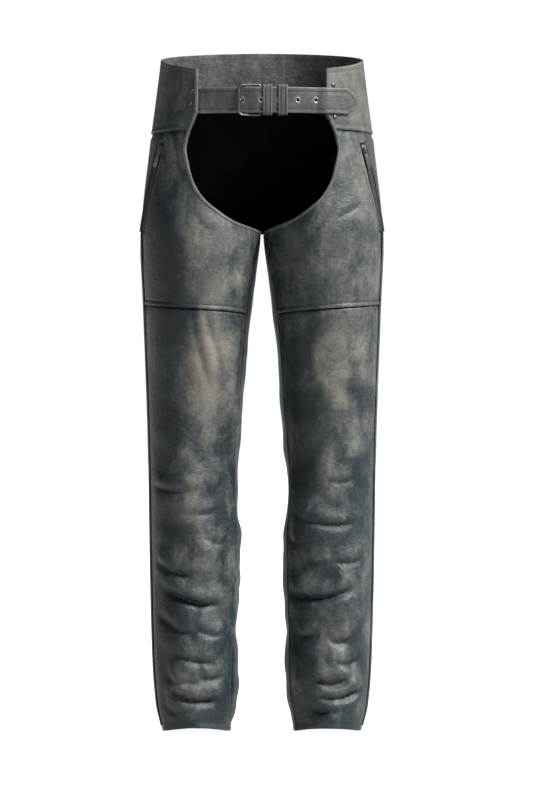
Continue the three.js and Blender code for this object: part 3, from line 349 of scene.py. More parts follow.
# ------------------------------------------------------------------ tone of the worn leather, with painted light and shade
# Paler and darker areas on each leg, partly patina and partly painted light on the side towards the key light
# and painted shade on the far side: (x, z, width, height, amount, warmth).
LIT_SHADED_AND_PATINA_PATCHES = {
    "right": [
        (72, 715, 44, 60, .17, .3), (92, 585, 26, 60, .26, .8), (82, 500, 24, 60, .2, .7),
        (84, 400, 20, 50, .16, .7), (108, 335, 20, 34, .2, .5), (90, 262, 18, 30, .12, .5),
        (98, 60, 26, 22, .16, .2), (62, 620, 22, 60, .16, .4), (100, 690, 60, 10, .08, .2),
        (152, 560, 24, 330, -.3, 0), (160, 800, 26, 90, -.22, 0),
        (150, 200, 26, 190, -.28, 0), (166, 430, 18, 130, -.12, 0),
        (138, 735, 22, 40, -.16, 0), (120, 640, 12, 26, -.14, 0), (62, 440, 16, 30, -.14, 0),
        (100, 760, 16, 20, .12, 0), (118, 870, 40, 40, -.04, 0), (64, 200, 18, 60, .06, .2)],
    "left": [
        (92, 715, 40, 44, .12, .3), (112, 590, 24, 50, .12, .8), (122, 520, 20, 50, .2, .9),
        (98, 440, 20, 44, .06, .5), (104, 372, 22, 34, .1, .5), (106, 262, 22, 24, .1, .3),
        (112, 140, 28, 30, .14, .2), (110, 60, 30, 22, .14, .2), (165, 815, 22, 60, .08, .2),
        (150, 880, 30, 40, .12, .3), (150, 1000, 70, 60, .06, .7),
        (150, 700, 24, 60, -.08, .2), (146, 440, 20, 60, .12, .2), (148, 560, 18, 120, .06, .2),
        (52, 610, 26, 130, -.3, 0), (66, 400, 24, 90, -.3, 0), (58, 250, 24, 90, -.26, 0),
        (62, 100, 24, 80, -.22, 0), (96, 300, 40, 20, -.12, 0), (100, 200, 40, 34, -.12, 0),
        (60, 790, 26, 26, -.22, 0), (70, 745, 16, 18, -.16, 0), (86, 500, 16, 50, -.12, 0)],
}


def tone_at(side, place, raised):
    x, z = place[..., 0], place[..., 2]
    tone = -.01 - .1 * (1 - smooth(z, 330, 640)) - .06 * (1 - smooth(z, 60, 260))
    warm = np.zeros(x.shape)
    front = smooth(-place[..., 1], -20, 30)
    # The patches add painted light and painted shade, as well as patina, on the front of the leg.
    for px, pz, wide, high, amount, warmth in LIT_SHADED_AND_PATINA_PATCHES[side]:
        share = front * bell((x - px) / wide, 1) * bell((z - pz) / high, 1)
        tone += amount * share
        warm += warmth * share
    tone += .16 * (1 - front) * ripple(x, z, 41, 90) + .05 * ripple(x, z, 43 if side == "right" else 47, 26)
    # Painted highlight on raised folds and painted shade in the hollows of creases and seams.
    tone += np.where(raised < 0, .062, .03) * np.clip(raised, -5, 5)
    return tone, np.clip(warm, 0, 1)


# ------------------------------------------------------------------ meshes
def to_metres(points, side="left"):
    points = np.asarray(points, float).reshape(-1, 3).copy()
    points[:, 2] -= BELT
    if side == "right":
        points[:, 0] *= -1
    return points / 1000


def new_object(name, points, faces, side="left", material=None, sharp=None, colours=None):
    """Mesh object from millimetre points; the right side is mirrored and its faces turned."""
    faces = [f[::-1] for f in faces] if side == "right" else faces
    mesh = bpy.data.meshes.new(name)
    mesh.from_pydata(to_metres(points, side).tolist(), [], [tuple(map(int, f)) for f in faces])
    mesh.validate()
    mesh.polygons.foreach_set("use_smooth", [True] * len(mesh.polygons))
    if colours is not None:
        layer = mesh.attributes.new("paint", "FLOAT_COLOR", "POINT")
        rgba = np.ones((len(mesh.vertices), 4), np.float32)
        rgba[:, :3] = colours
        layer.data.foreach_set("color", rgba.ravel())
    if sharp:
        mesh.set_sharp_from_angle(angle=math.radians(sharp))
    obj = bpy.data.objects.new(name, mesh)
    bpy.context.scene.collection.objects.link(obj)
    if material:
        mesh.materials.append(material)
    return obj


def grid_faces(rows, columns, offset=0, flip=False):
    r, c = np.meshgrid(np.arange(rows - 1), np.arange(columns - 1), indexing="ij")
    a = (r * columns + c).ravel() + offset
    quads = np.stack([a, a + 1, a + columns + 1, a + columns], 1)
    return (quads[:, ::-1] if flip else quads).tolist()


def closed_shell(outer, inner):
    """Points and outward faces of a sheet between two grids."""
    rows, columns = outer.shape[:2]
    count = rows * columns
    faces = grid_faces(rows, columns, 0, True) + grid_faces(rows, columns, count)
    loop = [*range(columns), *[r * columns + columns - 1 for r in range(1, rows)],
            *[(rows - 1) * columns + c for c in range(columns - 2, -1, -1)],
            *[r * columns for r in range(rows - 2, 0, -1)]]
    for i, a in enumerate(loop):
        b = loop[(i + 1) % len(loop)]
        faces.append([a, b, b + count, a + count])
    return np.concatenate([outer.reshape(-1, 3), inner.reshape(-1, 3)]), faces


def outwards(points, faces):
    """The faces, all turned round when they enclose the points inside out."""
    p = np.asarray(points, float)
    fans = np.array([(f[0], f[k], f[k + 1]) for f in faces for k in range(1, len(f) - 1)])
    volume = np.einsum("ij,ij->", p[fans[:, 0]], np.cross(p[fans[:, 1]], p[fans[:, 2]]))
    return faces if volume > 0 else [f[::-1] for f in faces]


FINE = (0, .7, 1.6, 2.8, 4.2, 5.6, 7, 8.4, 10.5)


def spaced(low, high, pitch, fine=FINE):
    """Places from low to high, closer together at both ends."""
    count = max(2, round((high - low - 2 * fine[-1]) / pitch))
    middle = np.linspace(low + fine[-1], high - fine[-1], count)
    return np.concatenate([low + np.array(fine[:-1]), middle, high - np.array(fine[:-1])[::-1]])


def shell_piece(name, side, angles, heights, depth, thick, material, relief=None, moved=None, chamfer=.35,
                wear=True):
    """Sheet on the garment's surface. `angles` and `heights` are grids, `relief` gives the outward
    offset from the distances to the low, high, start and end edges, `moved` the fold field."""
    place = face(angles, heights)
    out = normal(angles, heights)
    step_r = np.linalg.norm(np.diff(place, axis=0), axis=-1)
    step_c = np.linalg.norm(np.diff(place, axis=1), axis=-1)
    down = np.concatenate([np.zeros((1, step_r.shape[1])), np.cumsum(step_r, 0)])
    across = np.concatenate([np.zeros((step_c.shape[0], 1)), np.cumsum(step_c, 1)], 1)
    edges = (down, down[-1:] - down, across, across[:, -1:] - across)
    raised = np.zeros(angles.shape) if moved is None else moved(side, angles, heights)
    total = raised + (relief(*edges) if relief else 0)
    nearest = np.minimum.reduce(edges)
    cut = np.where(nearest < .05, thick * chamfer, 0)
    outer = place + out * (total - depth - cut)[..., None]
    inner = place + out * (total - depth - thick + cut)[..., None]
    points, faces = closed_shell(outer, inner)
    faces = outwards(points, faces)
    # The relief's hollows join the folds here, so seams and tucked edges get painted shade in the tone.
    tone, warm = tone_at(side, outer, raised + 1.6 * np.minimum(total - raised, 0))
    edge = bell(nearest, 2.2) if wear else 0 * nearest
    colour = np.stack([tone + .5, edge, warm], -1).reshape(-1, 3)
    obj = new_object(name, points, faces, side, material, CREASE_ANGLE, np.concatenate([colour, colour]))
    flat = (float(across[:, -1].max()) / 1000, float(down[-1].max()) / 1000)
    cell = (step_r[:, :-1] + step_r[:, 1:]) / 2 * (step_c[:-1] + step_c[1:]) / 2
    obj["flat"] = [*flat, float(cell.sum()) / 1e6]
    return obj


def tube_faces(rings, sides, closed=False):
    """Quads between rings of points, with flat ends unless the rings close in a loop."""
    faces = []
    for s in range(rings if closed else rings - 1):
        t = (s + 1) % rings
        faces += [[s * sides + i, s * sides + (i + 1) % sides, t * sides + (i + 1) % sides, t * sides + i]
                  for i in range(sides)]
    if not closed:
        faces += [list(range(sides))[::-1], [(rings - 1) * sides + i for i in range(sides)]]
    return faces


def sweep_piece(name, side, stations, material, closed=False, sharp=60, colours=None):
    """Solid through stations (n, k, 3)."""
    stations = np.asarray(stations, float)
    faces = tube_faces(*stations.shape[:2], closed)
    points = stations.reshape(-1, 3)
    return new_object(name, points, outwards(points, faces), side, material, sharp, colours)


def resample(points, pitch):
    points = np.asarray(points, float)
    run = np.concatenate([[0], np.cumsum(np.linalg.norm(np.diff(points, axis=0), axis=1))])
    at = np.linspace(0, run[-1], max(3, round(run[-1] / pitch) + 1))
    return np.stack([np.interp(at, run, points[:, i]) for i in range(points.shape[1])], -1)


class Heap:
    """Many small copies gathered in one mesh."""

    def __init__(self):
        self.points, self.faces, self.count = [], [], 0

    def put(self, shape, place, x, y, z):
        points, faces = shape
        made = np.asarray(place) + points[:, :1] * x + points[:, 1:2] * y + points[:, 2:] * z
        self.points.append(made)
        self.faces += [[i + self.count for i in f] for f in faces]
        self.count += len(points)

    def piece(self, name, side, material, sharp=None):
        return new_object(name, np.concatenate(self.points), self.faces, side, material, sharp)


def turned(outline, segments=28):
    """Points and faces turned round local Z from (radius, height) pairs that start and end on it."""
    points, faces = [(0, 0, outline[0][1])], []
    rings = outline[1:-1]
    for r, h in rings:
        points += [(r * math.cos(a), r * math.sin(a), h) for a in np.linspace(0, FULL_TURN, segments, False)]
    points.append((0, 0, outline[-1][1]))
    last = len(points) - 1
    for i in range(segments):
        j = (i + 1) % segments
        faces.append([0, 1 + j, 1 + i])
        for s in range(len(rings) - 1):
            a, b = 1 + s * segments, 1 + (s + 1) * segments
            faces.append([a + i, a + j, b + j, b + i])
        faces.append([1 + (len(rings) - 1) * segments + i, 1 + (len(rings) - 1) * segments + j, last])
    points = np.array(points, float)
    return points, outwards(points, faces)


def capsule(long, radius, sides=6):
    ring = [(-.5, .0), (-.44, .6), (-.3, .95), (0, 1.08), (.3, .95), (.44, .6), (.5, .0)]
    points, faces = turned([(r * radius, x * long) for x, r in ring], sides)
    return points[:, [2, 0, 1]], faces


STITCH = capsule(2.7, .42)


def stitches(heap, points, normals, pitch=3.5):
    """Row of stitches along a line of points lying on a surface."""
    line = resample(np.concatenate([points, normals], 1), pitch)
    p, n = line[:, :3], unit(line[:, 3:])
    along = unit(np.gradient(p, axis=0))
    for i in range(len(p)):
        side = np.cross(n[i], along[i])
        heap.put(STITCH, p[i] + n[i] * -STITCH_SINK, along[i], side, n[i] * .8)


def surface_row(heap, side, angles, heights, above_skin, moved=lift):
    angles, heights = np.broadcast_arrays(np.asarray(angles, float), np.asarray(heights, float))
    out = normal(angles, heights)
    raised = moved(side, angles, heights) if moved else np.zeros(angles.shape)
    points = face(angles, heights) + out * (raised + above_skin)[..., None]
    stitches(heap, points, out)


# ------------------------------------------------------------------ materials
class Nodes:
    def __init__(self, name):
        self.material = bpy.data.materials.new(name)
        self.material.use_nodes = True
        self.tree = self.material.node_tree
        self.shader = next(n for n in self.tree.nodes if n.type == "BSDF_PRINCIPLED")
        self.place = self.add("ShaderNodeTexCoord").outputs["Object"]

    def add(self, kind, **values):
        node = self.tree.nodes.new(kind)
        for key, value in values.items():
            setattr(node, key, value)
        return node

    def link(self, a, b):
        self.tree.links.new(a, b)

    def noise(self, scale, detail=4.0, rough=.55, distortion=0.0, stretch=None):
        node = self.add("ShaderNodeTexNoise")
        for key, value in (("Scale", scale), ("Detail", detail), ("Roughness", rough),
                           ("Distortion", distortion)):
            node.inputs[key].default_value = value
        self.link(self.stretched(stretch), node.inputs["Vector"])
        return node.outputs["Fac"]

    def stretched(self, stretch):
        if stretch is None:
            return self.place
        node = self.add("ShaderNodeMapping")
        node.inputs["Scale"].default_value = stretch
        self.link(self.place, node.inputs["Vector"])
        return node.outputs["Vector"]

    def cells(self, scale):
        node = self.add("ShaderNodeTexVoronoi", feature="F1")
        node.inputs["Scale"].default_value = scale
        self.link(self.place, node.inputs["Vector"])
        return node.outputs["Distance"]

    def math(self, kind, a, b=0.0, clamp=False):
        node = self.add("ShaderNodeMath", operation=kind, use_clamp=clamp)
        for i, value in enumerate((a, b)):
            if isinstance(value, (int, float)):
                node.inputs[i].default_value = value
            else:
                self.link(value, node.inputs[i])
        return node.outputs[0]

    def ramp(self, value, stops):
        node = self.add("ShaderNodeValToRGB")
        elements = node.color_ramp.elements
        while len(elements) < len(stops):
            elements.new(.5)
        for element, (at, colour) in zip(elements, stops):
            element.position = at
            element.color = (*colour, 1)
        self.link(value, node.inputs["Fac"])
        return node.outputs["Color"]

    def blend(self, share, a, b):
        node = self.add("ShaderNodeMix", data_type="RGBA")
        for key, value in (("Factor", share), ("A", a), ("B", b)):
            socket = node.inputs[key]
            if isinstance(value, (int, float)):
                socket.default_value = value
            elif isinstance(value, tuple):
                socket.default_value = (*value, 1)
            else:
                self.link(value, socket)
        return node.outputs["Result"]

    def paint(self):
        node = self.add("ShaderNodeAttribute", attribute_name="paint")
        parts = self.add("ShaderNodeSeparateColor")
        self.link(node.outputs["Color"], parts.inputs["Color"])
        return parts.outputs

    def bump(self, height, distance, after=None):
        node = self.add("ShaderNodeBump")
        node.inputs["Distance"].default_value = distance
        self.link(height, node.inputs["Height"])
        if after is not None:
            self.link(after, node.inputs["Normal"])
        return node.outputs["Normal"]

    def finish(self, colour, rough, normal_out=None, metal=0.0, specular=.5):
        shader = self.shader
        for key, value in (("Base Color", colour), ("Roughness", rough)):
            if isinstance(value, tuple):
                shader.inputs[key].default_value = (*value, 1)
            elif isinstance(value, (int, float)):
                shader.inputs[key].default_value = value
            else:
                self.link(value, shader.inputs[key])
        shader.inputs["Metallic"].default_value = metal
        shader.inputs["Specular IOR Level"].default_value = specular
        if normal_out is not None:
            self.link(normal_out, shader.inputs["Normal"])
        return self.material


DARK, DEEP = (.0024, .0054, .0074), (.0072, .0122, .0148)
MIDDLE, PALE = (.0250, .0290, .0285), (.056, .0570, .0515)
BRIGHT, TAN = (.100, .0985, .0860), (.080, .0690, .0550)


def leather(name, shift=0.0, contrast=1.0, painted=True, grain=1.0, gloss=0.0, rubbed=.1):
    """Distressed full-grain leather: rubbed pale patches over a dark blue-green ground, plus the painted
    light and shade carried in the paint tone.
    """
    n = Nodes(name)
    clouds = n.noise(7.5, 6, .62, .5)
    blots = n.noise(17, 5, .6, .9, (1, 1, .7))
    streaks = n.noise(34, 6, .66, .7, (1, 1, .5))
    speck = n.noise(130, 5, .7, .3)
    level = .44 + shift
    for noise, weight in ((clouds, .9), (blots, 1.1), (streaks, 1.1), (speck, .75)):
        level = n.math("ADD", n.math("MULTIPLY", n.math("SUBTRACT", noise, .5), weight * contrast), level)
    if painted:
        tone, edge, warm = n.paint()[0], n.paint()[1], n.paint()[2]
        # The paint tone adds painted light and painted shade as well as patina.
        level = n.math("ADD", level, n.math("SUBTRACT", tone, .5))
        level = n.math("ADD", level, n.math("MULTIPLY", edge, rubbed))
    base = n.ramp(level, [(0, DARK), (.22, DEEP), (.46, MIDDLE), (.72, PALE), (1, BRIGHT)])
    if painted:
        share = n.math("MULTIPLY", warm, n.math("MULTIPLY", level, .9, True), True)
        base = n.blend(share, base, TAN)
    cracks = n.cells(420)
    pores = n.cells(1150)
    folds = n.noise(70, 5, .6, 1.1, (1, 1, 1.6))
    base = n.blend(n.math("MULTIPLY", n.math("SUBTRACT", .5, cracks, True), .22 * grain), base, DARK)
    rough = n.math("ADD", n.math("MULTIPLY", streaks, .26), .4 - gloss)
    relief = n.bump(folds, .0011 * grain)
    relief = n.bump(cracks, .00022 * grain, relief)
    relief = n.bump(pores, .00008 * grain, relief)
    return n.finish(base, rough, relief, specular=.24)


def woven(name, ground, thread, pitch=1500):
    """Plain weave: two crossing sets of threads."""
    n = Nodes(name)
    height = None
    for turn in (0, math.pi / 2):
        mapping = n.add("ShaderNodeMapping")
        mapping.inputs["Rotation"].default_value = (turn, 0, 0)
        n.link(n.place, mapping.inputs["Vector"])
        wave = n.add("ShaderNodeTexWave", bands_direction="Z")
        wave.inputs["Scale"].default_value = pitch / 20
        wave.inputs["Distortion"].default_value = .4
        n.link(mapping.outputs["Vector"], wave.inputs["Vector"])
        height = wave.outputs["Fac"] if height is None else n.math("MAXIMUM", height, wave.outputs["Fac"])
    soft = n.noise(40, 3, .5)
    shade = n.math("ADD", n.math("MULTIPLY", soft, .5), .45)
    base = n.blend(n.math("MULTIPLY", height, shade), ground, thread)
    return n.finish(base, .85, n.bump(height, .00025, n.bump(soft, .0008)), specular=.2)


def metal(name, colour, dark, rough=.3, wear=.5):
    n = Nodes(name)
    tarnish = n.noise(90, 5, .65, .4)
    scratch = n.noise(900, 3, .6, 0, (1, .12, 1))
    base = n.blend(n.math("MULTIPLY", tarnish, wear, True), colour, dark)
    level = n.math("ADD", n.math("MULTIPLY", tarnish, .22), n.math("MULTIPLY", scratch, .14))
    return n.finish(base, n.math("ADD", level, rough - .12), n.bump(scratch, .00003), metal=1.0)


def plain_thread(name, colour, dark):
    n = Nodes(name)
    twist = n.noise(1400, 2, .5, 0, (1, 1, 1))
    return n.finish(n.blend(twist, colour, dark), .7, n.bump(twist, .0001), specular=.25)


M = {
    "thigh": leather("leather_thigh"),
    "shin": leather("leather_shin", -.02, 1.08),
    "back": leather("leather_back", -.03),
    "yoke": leather("leather_yoke", .0, .8, grain=.8),
    "binding": leather("leather_binding", .17, .6, False, .7, .04),
    "strap": leather("leather_strap", .03, .5, True, .6, .06, .26),
    "facing": leather("leather_facing", .09, .9, True, .9, 0, 0),
    "flap": leather("leather_flap", .0, .9),
    "lining": woven("black_woven_lining", (.0015, .0017, .002), (.0055, .006, .007)),
    "pocket": woven("black_pocket_cloth", (.0018, .0019, .0021), (.007, .0074, .008), 1100),
    "tape": woven("zip_tape_black", (.003, .003, .0034), (.014, .0145, .016), 2200),
    "teeth": metal("zip_teeth_metal", (.08, .08, .08), (.02, .02, .022), .38),
    "nickel": metal("nickel_aged", (.105, .108, .108), (.025, .026, .028), .36),
    "eyelet": metal("eyelet_grey_metal", (.24, .24, .235), (.08, .08, .082), .36),
    "dull": metal("rivet_dull_metal", (.08, .08, .077), (.02, .021, .022), .44, .7),
    "gunmetal": metal("gunmetal_dark", (.06, .06, .062), (.02, .02, .022), .4),
    "thread": plain_thread("thread_grey", (.052, .055, .054), (.024, .026, .027)),
    "thread_dark": plain_thread("thread_dark", (.018, .020, .021), (.008, .009, .010)),
}
SIDES = ("left", "right")


def settle(obj, body="root", node=None):
    """Puts a finished piece on its body, in place of its CAD node."""
    if body:
        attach(obj, body)
    if node:
        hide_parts(node)
    return obj


def between(low, high, shares):
    return low[:, None] * (1 - shares) + high[:, None] * shares


def columns_for(width, pitch, fine=FINE):
    return spaced(0, width, pitch, fine) / width


def stitched_rows(name, side, thread, body, rows):
    """One piece with rows of stitches, each given as (angles, heights, above the skin, fold field)."""
    heap = Heap()
    for angles, heights, above_skin, moved in rows:
        surface_row(heap, side, angles, heights, above_skin, moved)
    settle(heap.piece(f"{name}_{side}", side, M[thread]), body, None)


# ------------------------------------------------------------------ reliefs near seams
def valley(distance, deep=1.0, wide=2.6):
    return -deep * bell(distance, wide)


def ridge(distance, at, high, wide):
    return high * bell(distance - at, wide)


def pucker(distance, along, reach, high):
    wave = np.sin(along / 7.1 + 1.7 * np.sin(along / 23)) + .6 * np.sin(along / 4.3 + 2)
    return high * wave * np.exp(-distance / reach)


def tucked(distance):
    """Edge that goes under the lapped edge of the next panel."""
    return 2.35 * (1 - smooth(distance, 4.5, 15))


def lower_front_relief(low, high, start, end):
    return (valley(end, 1.5, 2.2) + ridge(end, 4.5, .5, 2.4) + ridge(start, 3, .3, 3) + ridge(low, 3.5, .8, 4)
            - .9 * smooth(14 - high, 0, 12) + valley(high, 1.6, 2.0) + pucker(high, start, 16, .3)
            + ridge(low, 11, -.35, 1.4))


def upper_front_relief(low, high, start, end):
    return (ridge(low, 2.4, 1.0, 2.8) + ridge(low, 7, -.9, 1.2) + valley(high, .9, 2)
            + ridge(high, 4, .3, 2.4) + pucker(high, start, 13, .5)
            + pucker(low, start, 22, .25) - tucked(high))


def back_relief(low, high, start, end):
    return (valley(start, .9) + ridge(start, 4.5, .35, 2.4) + ridge(low, 3.5, .8, 4) + valley(high, .9, 2)
            + pucker(high, start, 14, .5) + ridge(low, 11, -.35, 1.4) - tucked(high))


def yoke_relief(low, high, start, end):
    return (ridge(low, 2.4, .7, 2.6) + ridge(low, 8.4, -.3, 1.3) + ridge(high, 2.6, .35, 3)
            + ridge(high, 7, -.3, 1.3))


def hip_slot_solid(side):
    """Cutter for the slanted zip's slot."""
    stations = []
    for share in np.linspace(-.03, 1.03, 9):
        place, along, across, out = hip_frame(share)
        stations.append([place + across * a + out * o for a, o in (
            (-SLOT_HALF, SLOT_IN), (SLOT_HALF, SLOT_IN), (SLOT_HALF, SLOT_OUT), (-SLOT_HALF, SLOT_OUT))])
    return sweep_piece("slot_cutter_" + side, side, stations, None, sharp=None)


def cut_with(obj, cutter):
    change = obj.modifiers.new("cut", "BOOLEAN")
    change.operation = "DIFFERENCE"
    change.solver = "EXACT"
    change.object = cutter
    bpy.context.view_layer.update()
    dg = bpy.context.evaluated_depsgraph_get()
    mesh = bpy.data.meshes.new_from_object(obj.evaluated_get(dg))
    obj.modifiers.clear()
    old = obj.data
    name = old.name
    obj.data = mesh
    bpy.data.meshes.remove(old)
    mesh.name = name
    bpy.data.objects.remove(cutter)
    mesh.polygons.foreach_set("use_smooth", [True] * len(mesh.polygons))
    mesh.set_sharp_from_angle(angle=math.radians(CREASE_ANGLE))


# ------------------------------------------------------------------ zip lines
HIP_TOP, HIP_LOW = (math.radians(54), CROTCH + 131.5), (math.radians(13), CROTCH + 1.5)


def hip_arc():
    middle = ((HIP_TOP[0] + HIP_LOW[0]) / 2, (HIP_TOP[1] + HIP_LOW[1]) / 2)
    a, b, c = (skin(*p, 1.4) for p in (HIP_TOP, middle, HIP_LOW))
    ab, ac = b - a, c - a
    axis = np.cross(ab, ac)
    size = axis @ axis
    centre = a + (np.cross(axis, ab) * (ac @ ac) + np.cross(ac, axis) * (ab @ ab)) / (2 * size)
    axis = unit(axis)
    start = a - centre
    turn = math.acos(np.dot(unit(start), unit(c - centre)))
    return centre, axis, start, turn


HIP_ARC = hip_arc()


def hip_frame(share):
    centre, axis, start, turn = HIP_ARC
    t = turn * share
    radial = start * math.cos(t) + np.cross(axis, start) * math.sin(t)
    out = unit(radial)
    return centre + radial, np.cross(axis, out), axis, out


ZIP_TOP, ZIP_LOW = CROTCH - 31.5, 62.0


def leg_zip_frame(share):
    ends = []
    for height in (ZIP_TOP, ZIP_LOW):
        p = skin(SIDE, height).copy()
        p[1] = 13
        ends.append(p)
    along = unit(ends[1] - ends[0])
    out = np.array([1, math.tan(-SIDE), 0])
    out = unit(out - along * (out @ along))
    return mix(ends[0], ends[1], share) - out * (LEATHER + 6.2), along, np.cross(along, out), out


# ------------------------------------------------------------------ leg panels and linings
def leg_grids(side):
    lower_u = spaced(0, THIGH_OUTER, 3.6) / THIGH_OUTER
    nominal = lower_u * THIGH_START
    shares = columns_for(255, 4.0)
    angles = between(zip_edge(nominal, 1), front_leg_end(nominal), shares)
    heights = (HEM_CURVE * np.sin(angles) ** 2 * (1 - lower_u[:, None])
               + lower_u[:, None] * (thigh_seam(angles) - SEAM_GAP / 2))
    low = shell_piece(f"lower_leg_{side}", side, angles, heights, 0, LEATHER, M["shin"],
                      lower_front_relief, lift)
    settle(low, "root", f"lower_leg_front_{side}")

    nominal = np.unique(np.concatenate([spaced(THIGH_START, YOKE_SIDE, 3.6),
                                        CROTCH + np.array([2.9, 3.1, 4.5, 6])]))
    angles = between(zip_edge(nominal, 1), front_leg_end(nominal), columns_for(270, 3.6))
    heights = (under_yoke(angles, nominal[:, None]) - SEAM_GAP / 2
               + (thigh_seam(angles) + SEAM_GAP - THIGH_START)
               * (1 - smooth(nominal[:, None], THIGH_START, THIGH_START + 60)))
    up = shell_piece(f"upper_leg_{side}", side, angles, heights, 0, LEATHER, M["thigh"],
                     upper_front_relief, lift)
    cut_with(up, hip_slot_solid(side))
    settle(up, "root", f"upper_leg_front_{side}")

    steps_at = CROTCH + np.array([-.6, -.4, -.1, .1])
    nominal = np.unique(np.concatenate([spaced(0, YOKE_SIDE, 4.6), steps_at]))
    angles = between(back_leg_end(nominal), zip_edge(nominal, -1), columns_for(300, 4.8))
    heights = (under_yoke(angles, nominal[:, None]) - SEAM_GAP / 2 * (nominal[:, None] > 900)
               + HEM_CURVE * np.sin(angles) ** 2 * (1 - smooth(nominal[:, None], 0, 60)))
    back = shell_piece(f"leg_leather_back_{side}", side, angles, heights, 0, LEATHER, M["back"],
                       back_relief, lift)
    settle(back, "root", f"leg_back_{side}")


def cloth_relief(low, high, start, end):
    return .5 * ridge(low, 2, 1, 2) + .25 * np.sin(start / 11 + low / 37) * np.minimum(1, start / 20)


def linings(side):
    low, top, pitch = 24.0, YOKE_SIDE - 2, 5.5
    for part in ("front", "back"):
        nominal = np.unique(np.concatenate([
            spaced(low, top, pitch), CROTCH + np.array([2.9, 3.1]),
            CROTCH + np.array([-.6, -.4, -.1, .1])]))
        if part == "front":
            ends = zip_edge(nominal, 1), front_leg_end(nominal) - math.radians(.5)
        else:
            ends = back_leg_end(nominal) + math.radians(2), zip_edge(nominal, -1)
        angles = between(*ends, columns_for(255, pitch))
        heights = under_yoke(angles, nominal[:, None])
        made = shell_piece(f"lining_{part}_{side}", side, angles, heights, LINING_DEPTH, LINER_THICK,
                           M["lining"], cloth_relief, lift, .3, False)
        if part == "front":
            cut_with(made, hip_slot_solid(side))
        settle(made, "root", f"leg_lining_{part}_{side}")


def yoke_grid(ends, low, high, pitch=3.4, width=150, tall=110):
    shares = spaced(0, tall, pitch) / tall
    nominal = mix(YOKE_SIDE, RIM_SIDE, shares)
    angles = between(ends[0](nominal), ends[1](nominal), columns_for(width, pitch))
    heights = low(angles) * (1 - shares[:, None]) + high(angles) * shares[:, None]
    return angles, heights


def yokes(side):
    centre_back = -math.pi - .006
    front = (lambda h: SIDE + 0 * h,
             lambda h: front_edge(mix(YOKE_SIDE - 1.6, RIM_SIDE - 17,
                                      (h - YOKE_SIDE) / (RIM_SIDE - YOKE_SIDE)), TUCK))
    back = (lambda h: centre_back + 0 * h, lambda h: SIDE + 0 * h)

    def seam(a):
        return yoke_seam(a) + SEAM_GAP / 2

    def lapped(a):
        return yoke_seam(a) - 4

    def band(a):
        return rim(a) - 88

    inside = LEATHER + .4

    def put(name, ends, low, high, depth, thick, mat, node, width, relief=None):
        angles, heights = yoke_grid(ends, low, high, 3.4 if depth == 0 else 4.2, width)
        made = shell_piece(name, side, angles, heights, depth, thick, mat, relief)
        settle(made, "root", node)
    put(f"yoke_front_{side}", front, lapped, rim, 0, LEATHER, M["yoke"], f"front_yoke_{side}",
        120, yoke_relief)
    put(f"yoke_front_facing_{side}", front, seam, rim, inside, LINER_THICK, M["facing"],
        f"front_facing_{side}", 120)
    put(f"yoke_back_{side}", back, lapped, rim, 0, LEATHER, M["yoke"], f"back_yoke_{side}",
        215, yoke_relief)
    put(f"yoke_back_facing_{side}", back, lambda a: band(a) + SEAM_GAP, rim, inside, LINER_THICK, M["facing"],
        f"back_facing_{side}", 215)
    put(f"yoke_back_lining_{side}", back, seam, band, inside + .4, LINER_THICK, M["lining"],
        f"back_yoke_lining_{side}", 215)


# ------------------------------------------------------------------ bindings
def binding_section():
    """Folded strip: rounded over its outer and inner faces, (across, out) in mm."""
    wide, proud, deep = BIND_WIDE - .2, .9, 4.4
    turns = np.linspace(0, FULL_TURN, 20, False)
    half_a, half_o = wide / 2, (proud + deep) / 2

    def power(v, p):
        return np.sign(v) * np.abs(v) ** p
    return [(.2 + half_a + half_a * power(math.cos(t), .55),
             (proud - deep) / 2 + half_o * power(math.sin(t), .7)) for t in turns]


def binding(side, name, node, angles, heights):
    fine = resample(np.stack([angles * 100, heights], -1), 1.2)
    a, h = fine[:, 0] / 100, fine[:, 1]
    place = face(a, h)
    run = np.concatenate([[0], np.cumsum(np.linalg.norm(np.diff(place, axis=0), axis=1))])
    at = np.linspace(0, run[-1], round(run[-1] / 2.6))
    a, h = np.interp(at, run, a), np.interp(at, run, h)
    place, out = face(a, h), normal(a, h)
    along = unit(np.gradient(place, axis=0))
    across = unit(np.cross(out, along))
    section = binding_section()
    plump = 1 + .05 * np.sin(at / 9.0) * np.sin(at / 31.0)
    stations = [[place[i] + across[i] * s + out[i] * o * plump[i] for s, o in section]
                for i in range(len(at))]
    made = sweep_piece(name, side, stations, M["binding"], sharp=70)
    settle(made, "root", node)
    heap = Heap()
    line = place + across * 4.0 + out * .92
    stitches(heap, line[2:-2], out[2:-2], BELT_PITCH)
    settle(heap.piece(name + "_stitches", side, M["thread"]), "root", None)


def bindings(side):
    heights = np.concatenate([np.linspace(RIM_SIDE - 17, CROTCH + 20, 200),
                              CROTCH + 20 - 19.9 * np.linspace(0, 1, 90)[1:] ** .8])
    angles = front_edge(heights, 0)
    heights[0] = rim(angles[:1])[0]
    heights = np.minimum(heights, rim(angles))
    binding(side, f"opening_binding_front_{side}", f"front_binding_{side}", angles, heights)
    heights = np.concatenate([CROTCH + 2 + 18 * np.linspace(0, 1, 60) ** 1.3,
                              np.linspace(CROTCH + 20, YOKE_SIDE, 140)[1:]])
    angles = seat_edge(heights, 0)
    binding(side, f"opening_binding_seat_{side}", f"seat_binding_{side}", angles,
            under_yoke(angles, heights) - SEAM_GAP * smooth(heights, YOKE_SIDE - 8, YOKE_SIDE))


